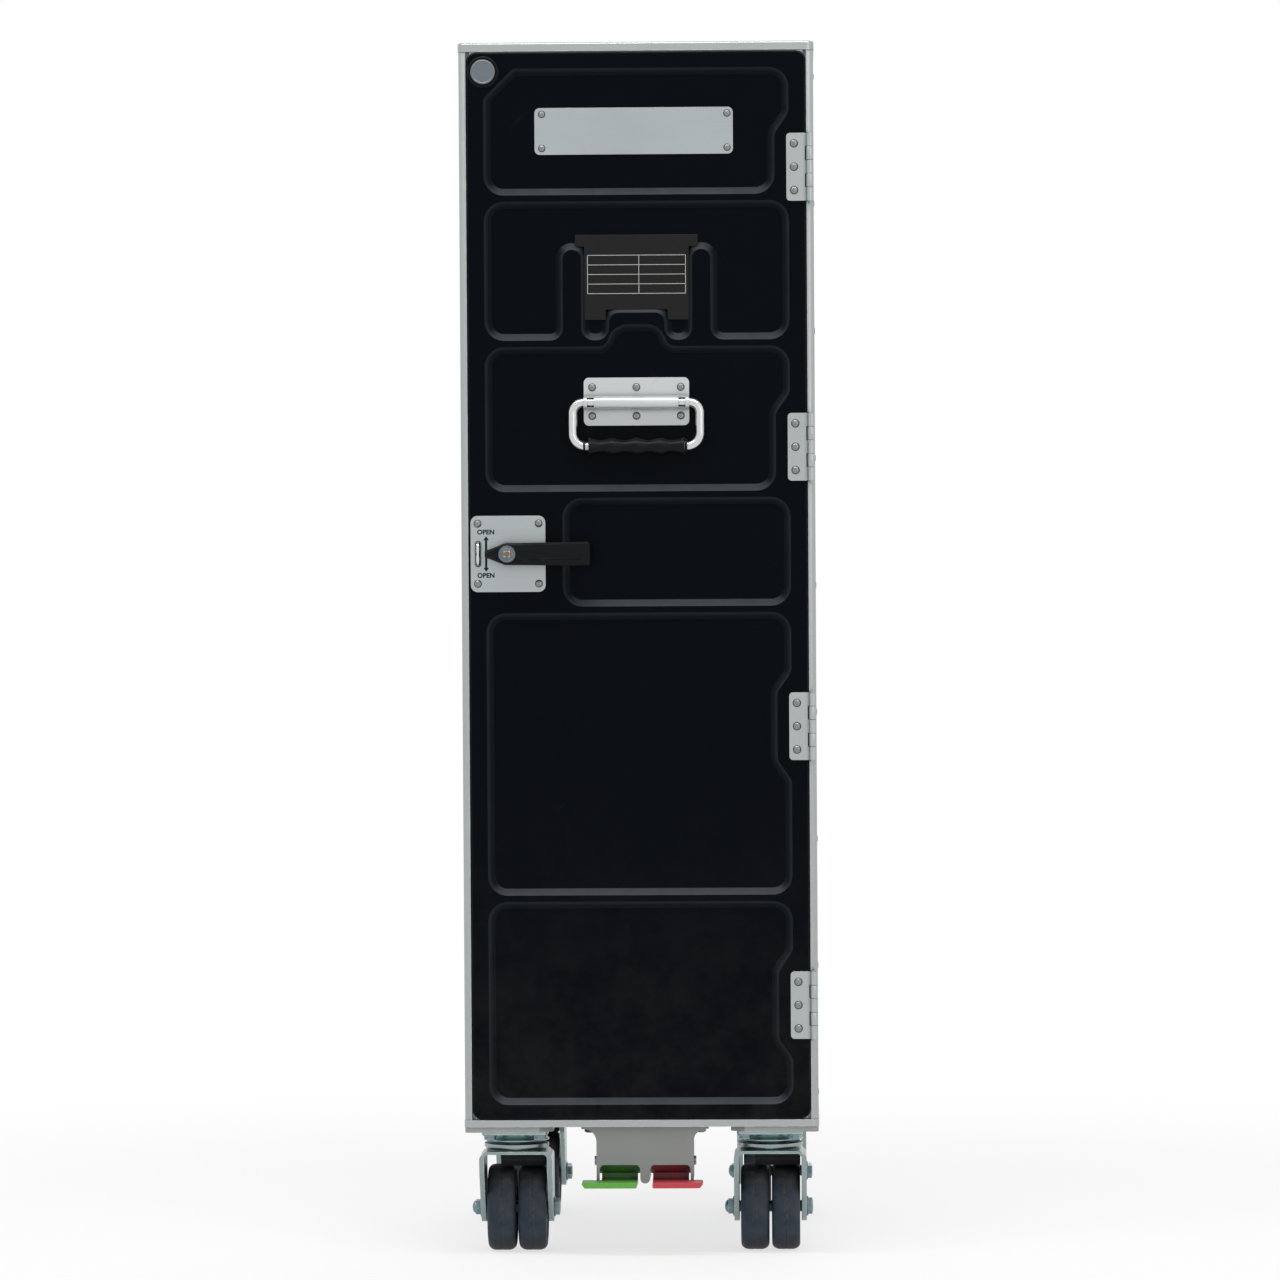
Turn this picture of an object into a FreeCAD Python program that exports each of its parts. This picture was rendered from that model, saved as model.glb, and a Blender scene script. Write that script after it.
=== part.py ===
import FreeCAD, Part

import math
import operator
import os

import Sketcher
from FreeCAD import Vector

# Half-size airline galley cart, in millimetres and degrees.
# The frame stands on the floor at z = 0 under the middle of the whole cart.
# +Z is up, the door faces -Y and its hinges are on the +X side.

SIZES = {
    # whole cart
    "cart_width": 305.0,
    "cart_height": 1045.0,
    "cabinet_depth": 406.0,
    "front_reach": 24.0,
    # rims and posts
    "rim_overhang": 0.5,
    "rim_overhang_front": 1.0,
    "rim_width": 9.5,
    "rim_corner": 6.0,
    "top_rim_height": 7.7,
    "top_rim_edge": 2.0,
    "bottom_rim_base": 114.5,
    "bottom_rim_height": 6.0,
    "post_wall": 9.0,
    "post_depth": 40.0,
    "post_corner": 5.0,
    "post_chamber_wall": 2.2,
    "rebate_width": 2.8,
    "rebate_depth": 11.5,
    # panels
    "panel_recess": 0.5,
    "back_thickness": 9.0,
    "back_fields": 3.0,
    "back_field_margin": 22.0,
    "back_field_depth": 2.5,
    "worktop_thickness": 6.3,
    "floor_rise": 4.0,
    # tray runners
    "runner_first": 170.0,
    "runner_pitch": 61.0,
    "runner_ledge": 8.5,
    "runner_height": 7.0,
    "runner_nose": 2.0,
    "runner_headroom": 60.0,
    "runner_door_gap": 9.0,
    "runner_back_gap": 2.5,
    # door
    "door_side_gap": 0.8,
    "door_end_gap": 0.9,
    "door_corner": 8.0,
    "skin_thickness": 9.0,
    "skin_edge": 1.6,
    "inner_panel_gap": 1.8,
    "inner_panel_end_gap": 3.0,
    "inner_panel_thickness": 12.0,
    "gasket_thickness": 2.5,
    "gasket_width": 3.2,
    "gasket_edge_gap": 0.6,
    # recessed fields of the door skin
    "field_side_margin": 14.2,
    "field_bottom_margin": 12.0,
    "field_top_margin": 13.7,
    "field_land": 5.2,
    "field_corner": 17.0,
    "field_depth": 5.0,
    "field_wall_run": 4.7,
    "field_edge_round": 1.2,
    "field_floor_round": 1.5,
    "field_jog": 12.2,
    "field_jog_slope": 17.5,
    "field_jog_corner": 12.0,
    "field_1_height": 108.5,
    "field_2_height": 119.2,
    "field_3_height": 124.4,
    "field_4_height": 93.4,
    "field_5_height": 242.8,
    "field_6_height": 175.0,
    "field_cut_corner": 25.5,
    "hump_half_width": 27.0,
    "hump_lean": 7.0,
    "hump_height": 18.9,
    "hump_foot_corner": 9.0,
    "hump_top_corner": 17.0,
    "field_4_latch_gap": 14.6,
    # card pocket in the second field
    "pocket_middle": -0.2,
    "pocket_width": 95.3,
    "pocket_rib_width": 15.5,
    "pocket_rib_height": 77.6,
    "pocket_rib_corner": 7.6,
    "pocket_foot_corner": 11.0,
    "pocket_tab_width": 47.3,
    "pocket_tab_height": 23.5,
    "pocket_tab_corner": 8.0,
    "card_depth": 2.0,
    "card_thickness": 0.8,
    "card_gap": 0.2,
    "card_bottom_rise": 17.5,
    "card_head_height": 10.0,
    "card_head_ear": 5.0,
    # name plate and magnet
    "name_plate_width": 170.0,
    "name_plate_height": 40.0,
    "name_plate_middle": -2.0,
    "name_plate_rise": 54.8,
    "plate_thickness": 1.5,
    "plate_corner": 4.5,
    "magnet_side_margin": 14.2,
    "magnet_top_drop": 16.5,
    "magnet_radius": 10.5,
    "magnet_height": 3.0,
    "magnet_bevel": 1.5,
    "magnet_boss_radius": 13.5,
    "magnet_boss_height": 1.2,
    # hinges
    "hinge_count": 4.0,
    "hinge_top_drop": 99.4,
    "hinge_bottom_rise": 97.4,
    "hinge_height": 58.0,
    "hinge_leaf_width": 16.0,
    "hinge_leaf_thickness": 1.8,
    "hinge_edge_gap": 0.4,
    "knuckle_radius": 3.25,
    "knuckle_gap": 0.3,
    "knuckle_air": 0.35,
    "pin_radius": 1.6,
    "pin_clearance": 0.05,
    "pin_head_radius": 2.6,
    "pin_head_height": 0.8,
    # bail handle
    "handle_middle": -0.9,
    "handle_plate_width": 90.4,
    "handle_plate_height": 41.1,
    "handle_plate_rise": 77.1,
    "bail_pivot_drop": 0.8,
    "bail_width": 109.3,
    "bail_drop": 37.7,
    "bail_rod_radius": 4.0,
    "bail_top_bend": 9.0,
    "bail_bottom_bend": 11.5,
    "bail_split": 1.0,
    "bail_clearance": 0.1,
    "barrel_wall": 1.5,
    "barrel_window_width": 6.0,
    "barrel_window_inset": 3.0,
    "grip_length": 82.0,
    "grip_peak_radius": 7.75,
    "grip_valley_radius": 5.1,
    "grip_waves": 4.0,
    "grip_wave_corner": 10.0,
    "grip_rest_gap": 0.3,
    # latch
    "latch_side_margin": 33.3,
    "latch_rise": 45.7,
    "latch_plate_width": 64.2,
    "latch_plate_height": 65.4,
    "latch_plate_corner": 6.0,
    "lever_thickness": 13.0,
    "lever_tip_reach": 19.1,
    "lever_tip_height": 5.0,
    "lever_reach": 70.8,
    "lever_end_height": 20.6,
    "lever_corner": 2.5,
    "lever_chamfer": 1.8,
    "lever_hub_radius": 9.25,
    "lever_shoulder": 1.7,
    "lever_groove_start": 15.0,
    "lever_groove_end_gap": 6.0,
    "lever_groove_drop": 5.0,
    "lever_groove_width": 1.6,
    "lever_groove_depth": 0.8,
    "lever_plate_gap": 0.4,
    "hub_disc_radius": 7.5,
    "hub_disc_depth": 2.5,
    "hub_square": 5.5,
    "hub_square_height": 0.8,
    "spindle_width": 8.0,
    "spindle_hole_radius": 6.5,
    "tongue_length": 37.0,
    "tongue_width": 16.0,
    "tongue_thickness": 3.0,
    "tongue_corner": 3.0,
    "tongue_gap": 0.6,
    "strike_height": 60.0,
    "strike_side_gap": 1.4,
    "strike_end_gap": 1.2,
    "staple_slot_reach": 25.7,
    "staple_slot_width": 5.2,
    "staple_slot_height": 22.6,
    "staple_thickness": 2.4,
    "staple_side_gap": 1.2,
    "staple_reach": 9.0,
    "staple_eye_radius": 2.6,
    # casters
    "caster_side_margin": 42.0,
    "caster_front_margin": 55.0,
    "caster_rear_margin": 59.0,
    "caster_trail": 22.0,
    "wheel_radius": 37.5,
    "wheel_width": 24.5,
    "wheel_gap": 2.3,
    "wheel_edge": 5.0,
    "wheel_hub_radius": 12.0,
    "wheel_rim_radius": 28.0,
    "wheel_dish_depth": 3.0,
    "fork_inner_width": 54.0,
    "fork_wall": 2.8,
    "fork_crown_level": 84.0,
    "fork_crown_length": 56.0,
    "fork_crown_drop": 14.0,
    "fork_crown_corner": 10.0,
    "fork_foot_radius": 12.0,
    "fork_bend": 6.5,
    "axle_radius": 5.0,
    "axle_clearance": 0.05,
    "axle_nut_radius": 8.0,
    "axle_nut_height": 4.5,
    "race_lower_radius": 28.0,
    "race_lower_height": 8.0,
    "race_gap": 0.5,
    "race_upper_radius": 32.5,
    "race_upper_height": 8.5,
    "race_neck_radius": 24.0,
    "race_edge": 2.0,
    "kingpin_radius": 8.0,
    "kingpin_clearance": 0.08,
    "kingpin_nut_radius": 12.0,
    "kingpin_nut_height": 5.0,
    "caster_plate_width": 74.0,
    "caster_plate_length": 86.0,
    "caster_plate_thickness": 4.0,
    "caster_plate_corner": 8.0,
    "corner_plate_thickness": 4.7,
    "corner_plate_width": 75.5,
    "corner_plate_length": 110.0,
    "corner_plate_taper": 12.0,
    # pedals
    "bracket_middle": 2.0,
    "bracket_width": 84.0,
    "bracket_flange_width": 110.0,
    "bracket_flange_depth": 46.0,
    "bracket_shoulder": 11.0,
    "bracket_front_margin": 28.0,
    "bracket_depth": 28.0,
    "bracket_sheet": 2.0,
    "bracket_edge_level": 82.0,
    "bracket_leg_level": 68.0,
    "bracket_leg_width": 2.7,
    "bracket_opening_corner": 4.0,
    "bracket_centre_width": 8.5,
    "bracket_centre_corner": 4.0,
    "pedal_shaft_setback": 16.0,
    "pedal_shaft_level": 81.0,
    "pedal_shaft_radius": 4.0,
    "pedal_shaft_clearance": 0.05,
    "pedal_hub_radius": 7.5,
    "pedal_hub_gap": 0.5,
    "pedal_pad_reach": 53.2,
    "pedal_pad_gap": 2.5,
    "pedal_pad_slant": 3.5,
    "pedal_pad_depth": 22.0,
    "pedal_pad_thickness": 5.0,
    "pedal_pad_level": 67.0,
    "pedal_pad_front_margin": 4.0,
    "pedal_pad_corner": 1.2,
    "pedal_arm_side_gap": 1.8,
    "pedal_arm_height": 6.0,
}


# ---------------------------------------------------------------- sizes and formulas

OPERATIONS = {"+": operator.add, "-": operator.sub, "*": operator.mul, "/": operator.truediv}


class Size:
    """A number with the formula that gives it from the sheet's cells."""

    def __init__(self, value, formula):
        self.value = value
        self.formula = formula

    def __add__(self, other):
        return combine(self, "+", other)

    def __radd__(self, other):
        return combine(other, "+", self)

    def __sub__(self, other):
        return combine(self, "-", other)

    def __rsub__(self, other):
        return combine(other, "-", self)

    def __mul__(self, other):
        return combine(self, "*", other)

    def __rmul__(self, other):
        return combine(other, "*", self)

    def __truediv__(self, other):
        return combine(self, "/", other)

    def __neg__(self):
        return combine(self, "*", -1)


class Sheet:
    """Gives each cell of the sheet as a Size, by its alias."""

    def __getattr__(self, name):
        return Size(SIZES[name], "Sizes." + name)


def as_size(item):
    """Turns a plain number into a Size."""
    if isinstance(item, Size):
        return item
    return Size(item, repr(item))


def combine(left, sign, right):
    """Joins two sizes by one of the four operations."""
    left = as_size(left)
    right = as_size(right)
    value = OPERATIONS[sign](left.value, right.value)
    return Size(value, "({} {} {})".format(left.formula, sign, right.formula))


def arctangent(ratio):
    """The angle whose tangent is the given ratio."""
    return Size(math.degrees(math.atan(ratio.value)), "atan({})".format(ratio.formula))


def bind(item, path, size):
    """Binds one property of an object to a formula."""
    item.setExpression(path, as_size(size).formula)


def count(size):
    """A whole number of repeats."""
    return int(round(size.value))


def make_sheet():
    """Writes the driving dimensions into the spreadsheet."""
    sheet = DOC.addObject("Spreadsheet::Sheet", "Sizes")
    for row, (name, value) in enumerate(SIZES.items(), start=1):
        write_row(sheet, row, name, str(value))
    DOC.recompute()
    return sheet


def write_row(sheet, row, name, content):
    """Fills one row of the spreadsheet and gives its cell an alias."""
    sheet.set("A{}".format(row), name.replace("_", " "))
    sheet.set("B{}".format(row), content)
    sheet.setAlias("B{}".format(row), name)


def keep(name, size):
    """Writes a size that follows from others into its own cell, so that formulas stay short."""
    KEPT.append(name)
    write_row(SHEET, len(SIZES) + len(KEPT), name, "=" + size.formula.replace("Sizes.", ""))
    return Size(size.value, "Sizes." + name)


# ---------------------------------------------------------------- drawing helpers

class Plane:
    """One of the three base planes, with the sign that its normal has along its axis."""

    def __init__(self, role, sign):
        self.role = role
        self.sign = sign


TOP = Plane("XY_Plane", 1)       # u = x, v = y, levels along z
FRONT = Plane("XZ_Plane", -1)    # u = x, v = z, levels along y
SIDE = Plane("YZ_Plane", 1)      # u = y, v = z, levels along x


def new_body(label):
    """Starts a sub-part; its label names the file it is written to."""
    body = DOC.addObject("PartDesign::Body", label)
    body.Label = label
    SUB_PARTS.append(body)
    return body


def new_sketch(body, plane, level):
    """Puts an empty sketch on a base plane of the body, moved along the plane's axis to a level."""
    sketch = body.newObject("Sketcher::SketchObject", body.Label + "_sketch")
    planes = [item for item in body.Origin.OriginFeatures if item.Role == plane.role]
    sketch.AttachmentSupport = (planes[0], [""])
    sketch.MapMode = "FlatFace"
    bind(sketch, "AttachmentOffset.Base.z", as_size(level) * plane.sign)
    return sketch


def corner_of(item):
    """Reads a corner given as (u, v) or (u, v, radius)."""
    parts = [as_size(part) for part in item]
    radius = parts[2] if len(parts) == 3 else None
    return parts[0], parts[1], radius


def trim_at(corner, other, length):
    """The point on the way from one corner to another, a length along."""
    start = Vector(corner[0].value, corner[1].value, 0)
    way = Vector(other[0].value, other[1].value, 0) - start
    return start + way.normalize() * length


def tangent_length(before, corner, after):
    """How far a corner's round takes up the lines on both sides of it."""
    if corner[2] is None:
        return 0.0
    place = Vector(corner[0].value, corner[1].value, 0)
    back = Vector(before[0].value, before[1].value, 0) - place
    ahead = Vector(after[0].value, after[1].value, 0) - place
    turn = math.pi - back.getAngle(ahead)
    return corner[2].value * math.tan(turn / 2)


def locate(constraints, names, geometry, point, place, prefix):
    """Fixes one point of the sketch by its two distances from the origin."""
    for axis, size in (("X", place[0]), ("Y", place[1])):
        constraint = Sketcher.Constraint("Distance" + axis, -1, 1, geometry, point, size.value)
        names.append((len(constraints), prefix + axis.lower(), size))
        constraints.append(constraint)


def round_arc(before, corner, after, radius, reach):
    """The arc that rounds a corner, and whether it runs against the order of the outline."""
    start = trim_at(corner, before, reach)
    end = trim_at(corner, after, reach)
    middle_way = (start + end) * 0.5 - Vector(corner[0].value, corner[1].value, 0)
    half_turn = math.atan2(reach, radius)
    centre = Vector(corner[0].value, corner[1].value, 0)
    centre = centre + middle_way.normalize() * (radius / math.cos(half_turn))
    turns_left = (start - centre).cross(end - centre).z > 0
    first, last = (start, end) if turns_left else (end, start)
    circle = Part.Circle(centre, Vector(0, 0, 1), radius)
    angles = [math.atan2(point.y - centre.y, point.x - centre.x) for point in (first, last)]
    return Part.ArcOfCircle(circle, angles[0], angles[1]), turns_left


def outline(sketch, items, closed=True):
    """Draws lines between corners, rounds those that have a radius and binds every size."""
    corners = [corner_of(item) for item in items]
    total = len(corners)
    lines = total if closed else total - 1
    base = sketch.GeometryCount
    serial = sketch.ConstraintCount
    reaches = []
    for index, corner in enumerate(corners):
        reaches.append(tangent_length(corners[index - 1], corner, corners[(index + 1) % total]))
    geometry = []
    for index in range(lines):
        here = corners[index]
        there = corners[(index + 1) % total]
        start = trim_at(here, there, reaches[index])
        end = trim_at(there, here, reaches[(index + 1) % total])
        geometry.append(Part.LineSegment(start, end))
    sketch.addGeometry(geometry, False)
    constraints = []
    names = []
    for index, corner in enumerate(corners):
        prefix = "corner{}_{}_".format(serial, index)
        before = base + (index - 1) % lines
        after = base + index % lines
        if not closed and index in (0, total - 1):
            line, end_point = (after, 1) if index == 0 else (base + lines - 1, 2)
            locate(constraints, names, line, end_point, corner, prefix)
            continue
        if corner[2] is None:
            constraints.append(Sketcher.Constraint("Coincident", before, 2, after, 1))
            locate(constraints, names, after, 1, corner, prefix)
            continue
        arc, turns_left = round_arc(
            corners[index - 1], corner, corners[(index + 1) % total], corner[2].value, reaches[index])
        arc_index = sketch.addGeometry(arc, False)
        first, last = (1, 2) if turns_left else (2, 1)
        constraints.append(Sketcher.Constraint("Tangent", before, 2, arc_index, first))
        constraints.append(Sketcher.Constraint("Tangent", arc_index, last, after, 1))
        names.append((len(constraints), prefix + "radius", corner[2]))
        constraints.append(Sketcher.Constraint("Radius", arc_index, corner[2].value))
        point = Part.Point(Vector(corner[0].value, corner[1].value, 0))
        point_index = sketch.addGeometry(point, True)
        constraints.append(Sketcher.Constraint("PointOnObject", point_index, 1, before))
        constraints.append(Sketcher.Constraint("PointOnObject", point_index, 1, after))
        locate(constraints, names, point_index, 1, corner, prefix)
    add_constraints(sketch, constraints, names)


def ring(sketch, centre_u, centre_v, radius):
    """Draws a circle and binds its centre and radius."""
    centre = (as_size(centre_u), as_size(centre_v))
    radius = as_size(radius)
    serial = sketch.ConstraintCount
    place = Vector(centre[0].value, centre[1].value, 0)
    index = sketch.addGeometry(Part.Circle(place, Vector(0, 0, 1), radius.value), False)
    constraints = [Sketcher.Constraint("Radius", index, radius.value)]
    names = [(0, "ring{}_radius".format(serial), radius)]
    locate(constraints, names, index, 3, centre, "ring{}_".format(serial))
    add_constraints(sketch, constraints, names)


def add_constraints(sketch, constraints, names):
    """Adds the constraints in one go, then names and binds the ones with a size."""
    first = sketch.ConstraintCount
    sketch.addConstraint(constraints)
    for offset, name, size in names:
        sketch.renameConstraint(first + offset, name)
        if "Sizes." in size.formula:
            bind(sketch, "Constraints." + name, size)


def box_corners(left, right, bottom, top, radius=None):
    """The four corners of a rectangle, with the same round on each if a radius is given."""
    spots = [(left, bottom), (right, bottom), (right, top), (left, top)]
    if radius is None:
        return spots
    return [spot + (radius,) for spot in spots]


def set_direction(feature, plane, forward):
    """Makes a pad or pocket run towards the + end of its plane's axis."""
    feature.Reversed = (plane.sign > 0) != forward


def pad(body, plane, level, thickness, loops):
    """Adds material between a level and that level plus a thickness."""
    sketch = new_sketch(body, plane, level)
    for loop in loops:
        draw(sketch, loop)
    feature = body.newObject("PartDesign::Pad", body.Label + "_pad")
    feature.Profile = sketch
    bind(feature, "Length", thickness)
    set_direction(feature, plane, True)
    return feature


def pocket(body, plane, level, depth, loops, taper=None):
    """Takes material away between a level and that level plus a depth."""
    sketch = new_sketch(body, plane, level)
    for loop in loops:
        draw(sketch, loop)
    feature = body.newObject("PartDesign::Pocket", body.Label + "_pocket")
    feature.Profile = sketch
    bind(feature, "Length", depth)
    set_direction(feature, plane, False)
    if taper is not None:
        bind(feature, "TaperAngle", taper)
    return feature


def revolve(body, plane, axis, loops):
    """Turns a profile once round the sketch's horizontal or vertical axis."""
    sketch = new_sketch(body, plane, 0)
    for loop in loops:
        draw(sketch, loop)
    feature = body.newObject("PartDesign::Revolution", body.Label + "_revolution")
    feature.Profile = sketch
    feature.ReferenceAxis = (sketch, [axis])
    feature.Angle = 360
    return feature


class Ring:
    """A circle to be drawn in a sketch."""

    def __init__(self, centre_u, centre_v, radius):
        self.sizes = (centre_u, centre_v, radius)


def draw(sketch, loop):
    """Draws one closed loop, a circle or an outline."""
    if isinstance(loop, Ring):
        ring(sketch, *loop.sizes)
    else:
        outline(sketch, loop)


def edges_where(shape, test):
    """Names of the edges of a shape that pass a test."""
    return ["Edge{}".format(number) for number, edge in enumerate(shape.Edges, 1) if test(edge)]


def fillet(body, base, radius, test):
    """Rounds the edges of the last feature that pass a test."""
    DOC.recompute()
    feature = body.newObject("PartDesign::Fillet", body.Label + "_fillet")
    feature.Base = (base, edges_where(base.Shape, test))
    bind(feature, "Radius", radius)
    return feature


def chamfer(body, base, size, test):
    """Bevels the edges of the last feature that pass a test."""
    DOC.recompute()
    feature = body.newObject("PartDesign::Chamfer", body.Label + "_chamfer")
    feature.Base = (base, edges_where(base.Shape, test))
    bind(feature, "Size", size)
    return feature


def level_edge(axis, level):
    """A test for edges that lie flat at one level along an axis."""
    level = as_size(level).value

    def test(edge):
        box = edge.BoundBox
        low, high = {"x": (box.XMin, box.XMax), "y": (box.YMin, box.YMax), "z": (box.ZMin, box.ZMax)}[axis]
        return abs(low - level) < 0.01 and abs(high - level) < 0.01
    return test


def place(body, x=0, y=0, z=0):
    """Binds the place of a whole sub-part."""
    for name, size in (("x", x), ("y", y), ("z", z)):
        bind(body, "Placement.Base." + name, size)


DOC = FreeCAD.newDocument("GalleyCart")
SUB_PARTS = []
KEPT = []
S = Sheet()
SHEET = make_sheet()

# ---------------------------------------------------------------- places that many pieces share

HALF_WIDTH = keep("half_width", S.cart_width / 2 - S.rim_overhang)      # outer face of the posts
RIM_FRONT = keep("rim_front", (S.front_reach - S.cabinet_depth) / 2)
RIM_REAR = keep("rim_rear", (S.front_reach + S.cabinet_depth) / 2)
POST_FRONT = keep("post_front", RIM_FRONT + S.rim_overhang_front)       # front face of posts and door
POST_REAR = keep("post_rear", RIM_REAR - S.rim_overhang_front)
INNER_HALF = keep("inner_half", HALF_WIDTH - S.post_wall)               # inner face of the walls
POST_BASE = keep("post_base", S.bottom_rim_base + S.bottom_rim_height)
POST_TOP = keep("post_top", S.cart_height - S.top_rim_height)
REBATE_HALF = keep("rebate_half", INNER_HALF + S.rebate_width)
REBATE_BACK = keep("rebate_back", POST_FRONT + S.rebate_depth)
BACK_FRONT = keep("back_front", POST_REAR - S.panel_recess - S.back_thickness)

DOOR_HALF = keep("door_half", REBATE_HALF - S.door_side_gap)
DOOR_BOTTOM = keep("door_bottom", POST_BASE + S.door_end_gap)
DOOR_TOP = keep("door_top", POST_TOP - S.door_end_gap)
SKIN_BACK = keep("skin_back", POST_FRONT + S.skin_thickness)
PANEL_BACK = keep("panel_back", SKIN_BACK + S.inner_panel_thickness)
FIELD_FLOOR = keep("field_floor", POST_FRONT + S.field_depth)

# the six fields share the height of the door in the proportion of their own heights
FIELD_HALF = keep("field_half", DOOR_HALF - S.field_side_margin)
FIELD_IN = keep("field_in", FIELD_HALF - S.field_jog)
FIELD_LANDS = keep("field_lands", S.field_land * 5)
FIELD_SUM = keep("field_sum", (
    S.field_1_height + S.field_2_height + S.field_3_height
    + S.field_4_height + S.field_5_height + S.field_6_height))
FIELD_ROOM = keep("field_room", (
    DOOR_TOP - S.field_top_margin - DOOR_BOTTOM - S.field_bottom_margin - FIELD_LANDS))
FIELD_SCALE = keep("field_scale", FIELD_ROOM / FIELD_SUM)
FIELD_6_BOTTOM = keep("field_6_bottom", DOOR_BOTTOM + S.field_bottom_margin)
FIELD_6_TOP = keep("field_6_top", FIELD_6_BOTTOM + S.field_6_height * FIELD_SCALE)
FIELD_5_BOTTOM = keep("field_5_bottom", FIELD_6_TOP + S.field_land)
FIELD_5_TOP = keep("field_5_top", FIELD_5_BOTTOM + S.field_5_height * FIELD_SCALE)
FIELD_4_BOTTOM = keep("field_4_bottom", FIELD_5_TOP + S.field_land)
FIELD_4_TOP = keep("field_4_top", FIELD_4_BOTTOM + S.field_4_height * FIELD_SCALE)
FIELD_3_BOTTOM = keep("field_3_bottom", FIELD_4_TOP + S.field_land)
FIELD_3_TOP = keep("field_3_top", FIELD_3_BOTTOM + S.field_3_height * FIELD_SCALE)
FIELD_2_BOTTOM = keep("field_2_bottom", FIELD_3_TOP + S.field_land)
FIELD_2_TOP = keep("field_2_top", FIELD_2_BOTTOM + S.field_2_height * FIELD_SCALE)
FIELD_1_BOTTOM = keep("field_1_bottom", FIELD_2_TOP + S.field_land)
FIELD_1_TOP = keep("field_1_top", FIELD_1_BOTTOM + S.field_1_height * FIELD_SCALE)

HINGE_X = keep("hinge_x", HALF_WIDTH - S.knuckle_radius)
HINGE_Y = keep("hinge_y", POST_FRONT - S.knuckle_radius - S.knuckle_air)
HINGE_TOP = keep("hinge_top", DOOR_TOP - S.hinge_top_drop)
HINGE_BOTTOM = keep("hinge_bottom", DOOR_BOTTOM + S.hinge_bottom_rise)
HINGE_PITCH = keep("hinge_pitch", (HINGE_TOP - HINGE_BOTTOM) / (S.hinge_count - 1))

MAGNET_X = keep("magnet_x", S.magnet_side_margin - DOOR_HALF)
MAGNET_LEVEL = keep("magnet_level", DOOR_TOP - S.magnet_top_drop)
NAME_PLATE_LEVEL = keep("name_plate_level", FIELD_1_BOTTOM + S.name_plate_rise)
HANDLE_PLATE_LEVEL = keep("handle_plate_level", FIELD_3_BOTTOM + S.handle_plate_rise)
HANDLE_PLATE_FRONT = keep("handle_plate_front", FIELD_FLOOR - S.plate_thickness)
BAIL_Y = keep("bail_y", FIELD_FLOOR - S.grip_peak_radius - S.grip_rest_gap)
BAIL_LEVEL = keep("bail_level", HANDLE_PLATE_LEVEL - S.bail_pivot_drop)
LATCH_X = keep("latch_x", S.latch_side_margin - DOOR_HALF)
LATCH_LEVEL = keep("latch_level", FIELD_4_BOTTOM + S.latch_rise)
LATCH_PLATE_FRONT = keep("latch_plate_front", POST_FRONT - S.plate_thickness)
LEVER_FRONT = keep("lever_front", RIM_FRONT - S.front_reach)
LEVER_BACK = keep("lever_back", LEVER_FRONT + S.lever_thickness)
STAPLE_X = keep("staple_x", LATCH_X - S.staple_slot_reach)
FIELD_4_LEFT = keep("field_4_left", LATCH_X + S.latch_plate_width / 2 + S.field_4_latch_gap)

CORNER_PLATE_BASE = keep("corner_plate_base", S.bottom_rim_base - S.corner_plate_thickness)
CASTER_PLATE_BASE = keep("caster_plate_base", CORNER_PLATE_BASE - S.caster_plate_thickness)
CASTER_X = keep("caster_x", HALF_WIDTH - S.caster_side_margin)
CASTER_FRONT = keep("caster_front", POST_FRONT + S.caster_front_margin)
CASTER_REAR = keep("caster_rear", POST_REAR - S.caster_rear_margin)
BRACKET_FRONT = keep("bracket_front", POST_FRONT + S.bracket_front_margin)
SHAFT_Y = keep("shaft_y", BRACKET_FRONT + S.pedal_shaft_setback)
PEDAL_FRONT = keep("pedal_front", POST_FRONT + S.pedal_pad_front_margin)


def hinge_level(index):
    """Middle level of a hinge, counted from the top."""
    return HINGE_TOP - HINGE_PITCH * index


# ---------------------------------------------------------------- cabinet

def make_rim(label, base, height, edge=None):
    """A ring that caps the posts: it lies over or under them all the way round."""
    body = new_body(label)
    half = S.cart_width / 2
    outer = box_corners(-half, half, RIM_FRONT, RIM_REAR, S.rim_corner)
    inner = box_corners(
        -half + S.rim_width, half - S.rim_width, RIM_FRONT + S.rim_width, RIM_REAR - S.rim_width)
    feature = pad(body, TOP, base, height, [outer, inner])
    if edge is not None:
        fillet(body, feature, edge, level_edge("z", base + height))


def make_front_post(label, side):
    """A hollow extruded post with the rebate that the door closes into."""
    body = new_body(label)
    outer = HALF_WIDTH * side
    profile = [
        (outer, POST_FRONT, S.post_corner),
        (outer, POST_FRONT + S.post_depth),
        (INNER_HALF * side, POST_FRONT + S.post_depth),
        (INNER_HALF * side, REBATE_BACK),
        (REBATE_HALF * side, REBATE_BACK),
        (REBATE_HALF * side, POST_FRONT),
    ]
    wall = S.post_chamber_wall
    chamber = [
        (outer - wall * side, REBATE_BACK + wall),
        (outer - wall * side, POST_FRONT + S.post_depth - wall),
        (INNER_HALF * side + wall * side, POST_FRONT + S.post_depth - wall),
        (INNER_HALF * side + wall * side, REBATE_BACK + wall),
    ]
    pad(body, TOP, POST_BASE, POST_TOP - POST_BASE, [profile, chamber])
    return body


def make_rear_post(label, side):
    """A hollow extruded post at the back, with a groove's width left for the back panel."""
    body = new_body(label)
    outer = HALF_WIDTH * side
    front = POST_REAR - S.post_depth
    profile = [
        (outer, POST_REAR, S.post_corner),
        (outer, front),
        (INNER_HALF * side, front),
        (INNER_HALF * side, POST_REAR),
    ]
    wall = S.post_chamber_wall
    chamber = [
        (outer - wall * side, POST_REAR - S.post_corner),
        (outer - wall * side, front + wall),
        (INNER_HALF * side + wall * side, front + wall),
        (INNER_HALF * side + wall * side, POST_REAR - S.post_corner),
    ]
    pad(body, TOP, POST_BASE, POST_TOP - POST_BASE, [profile, chamber])


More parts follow.
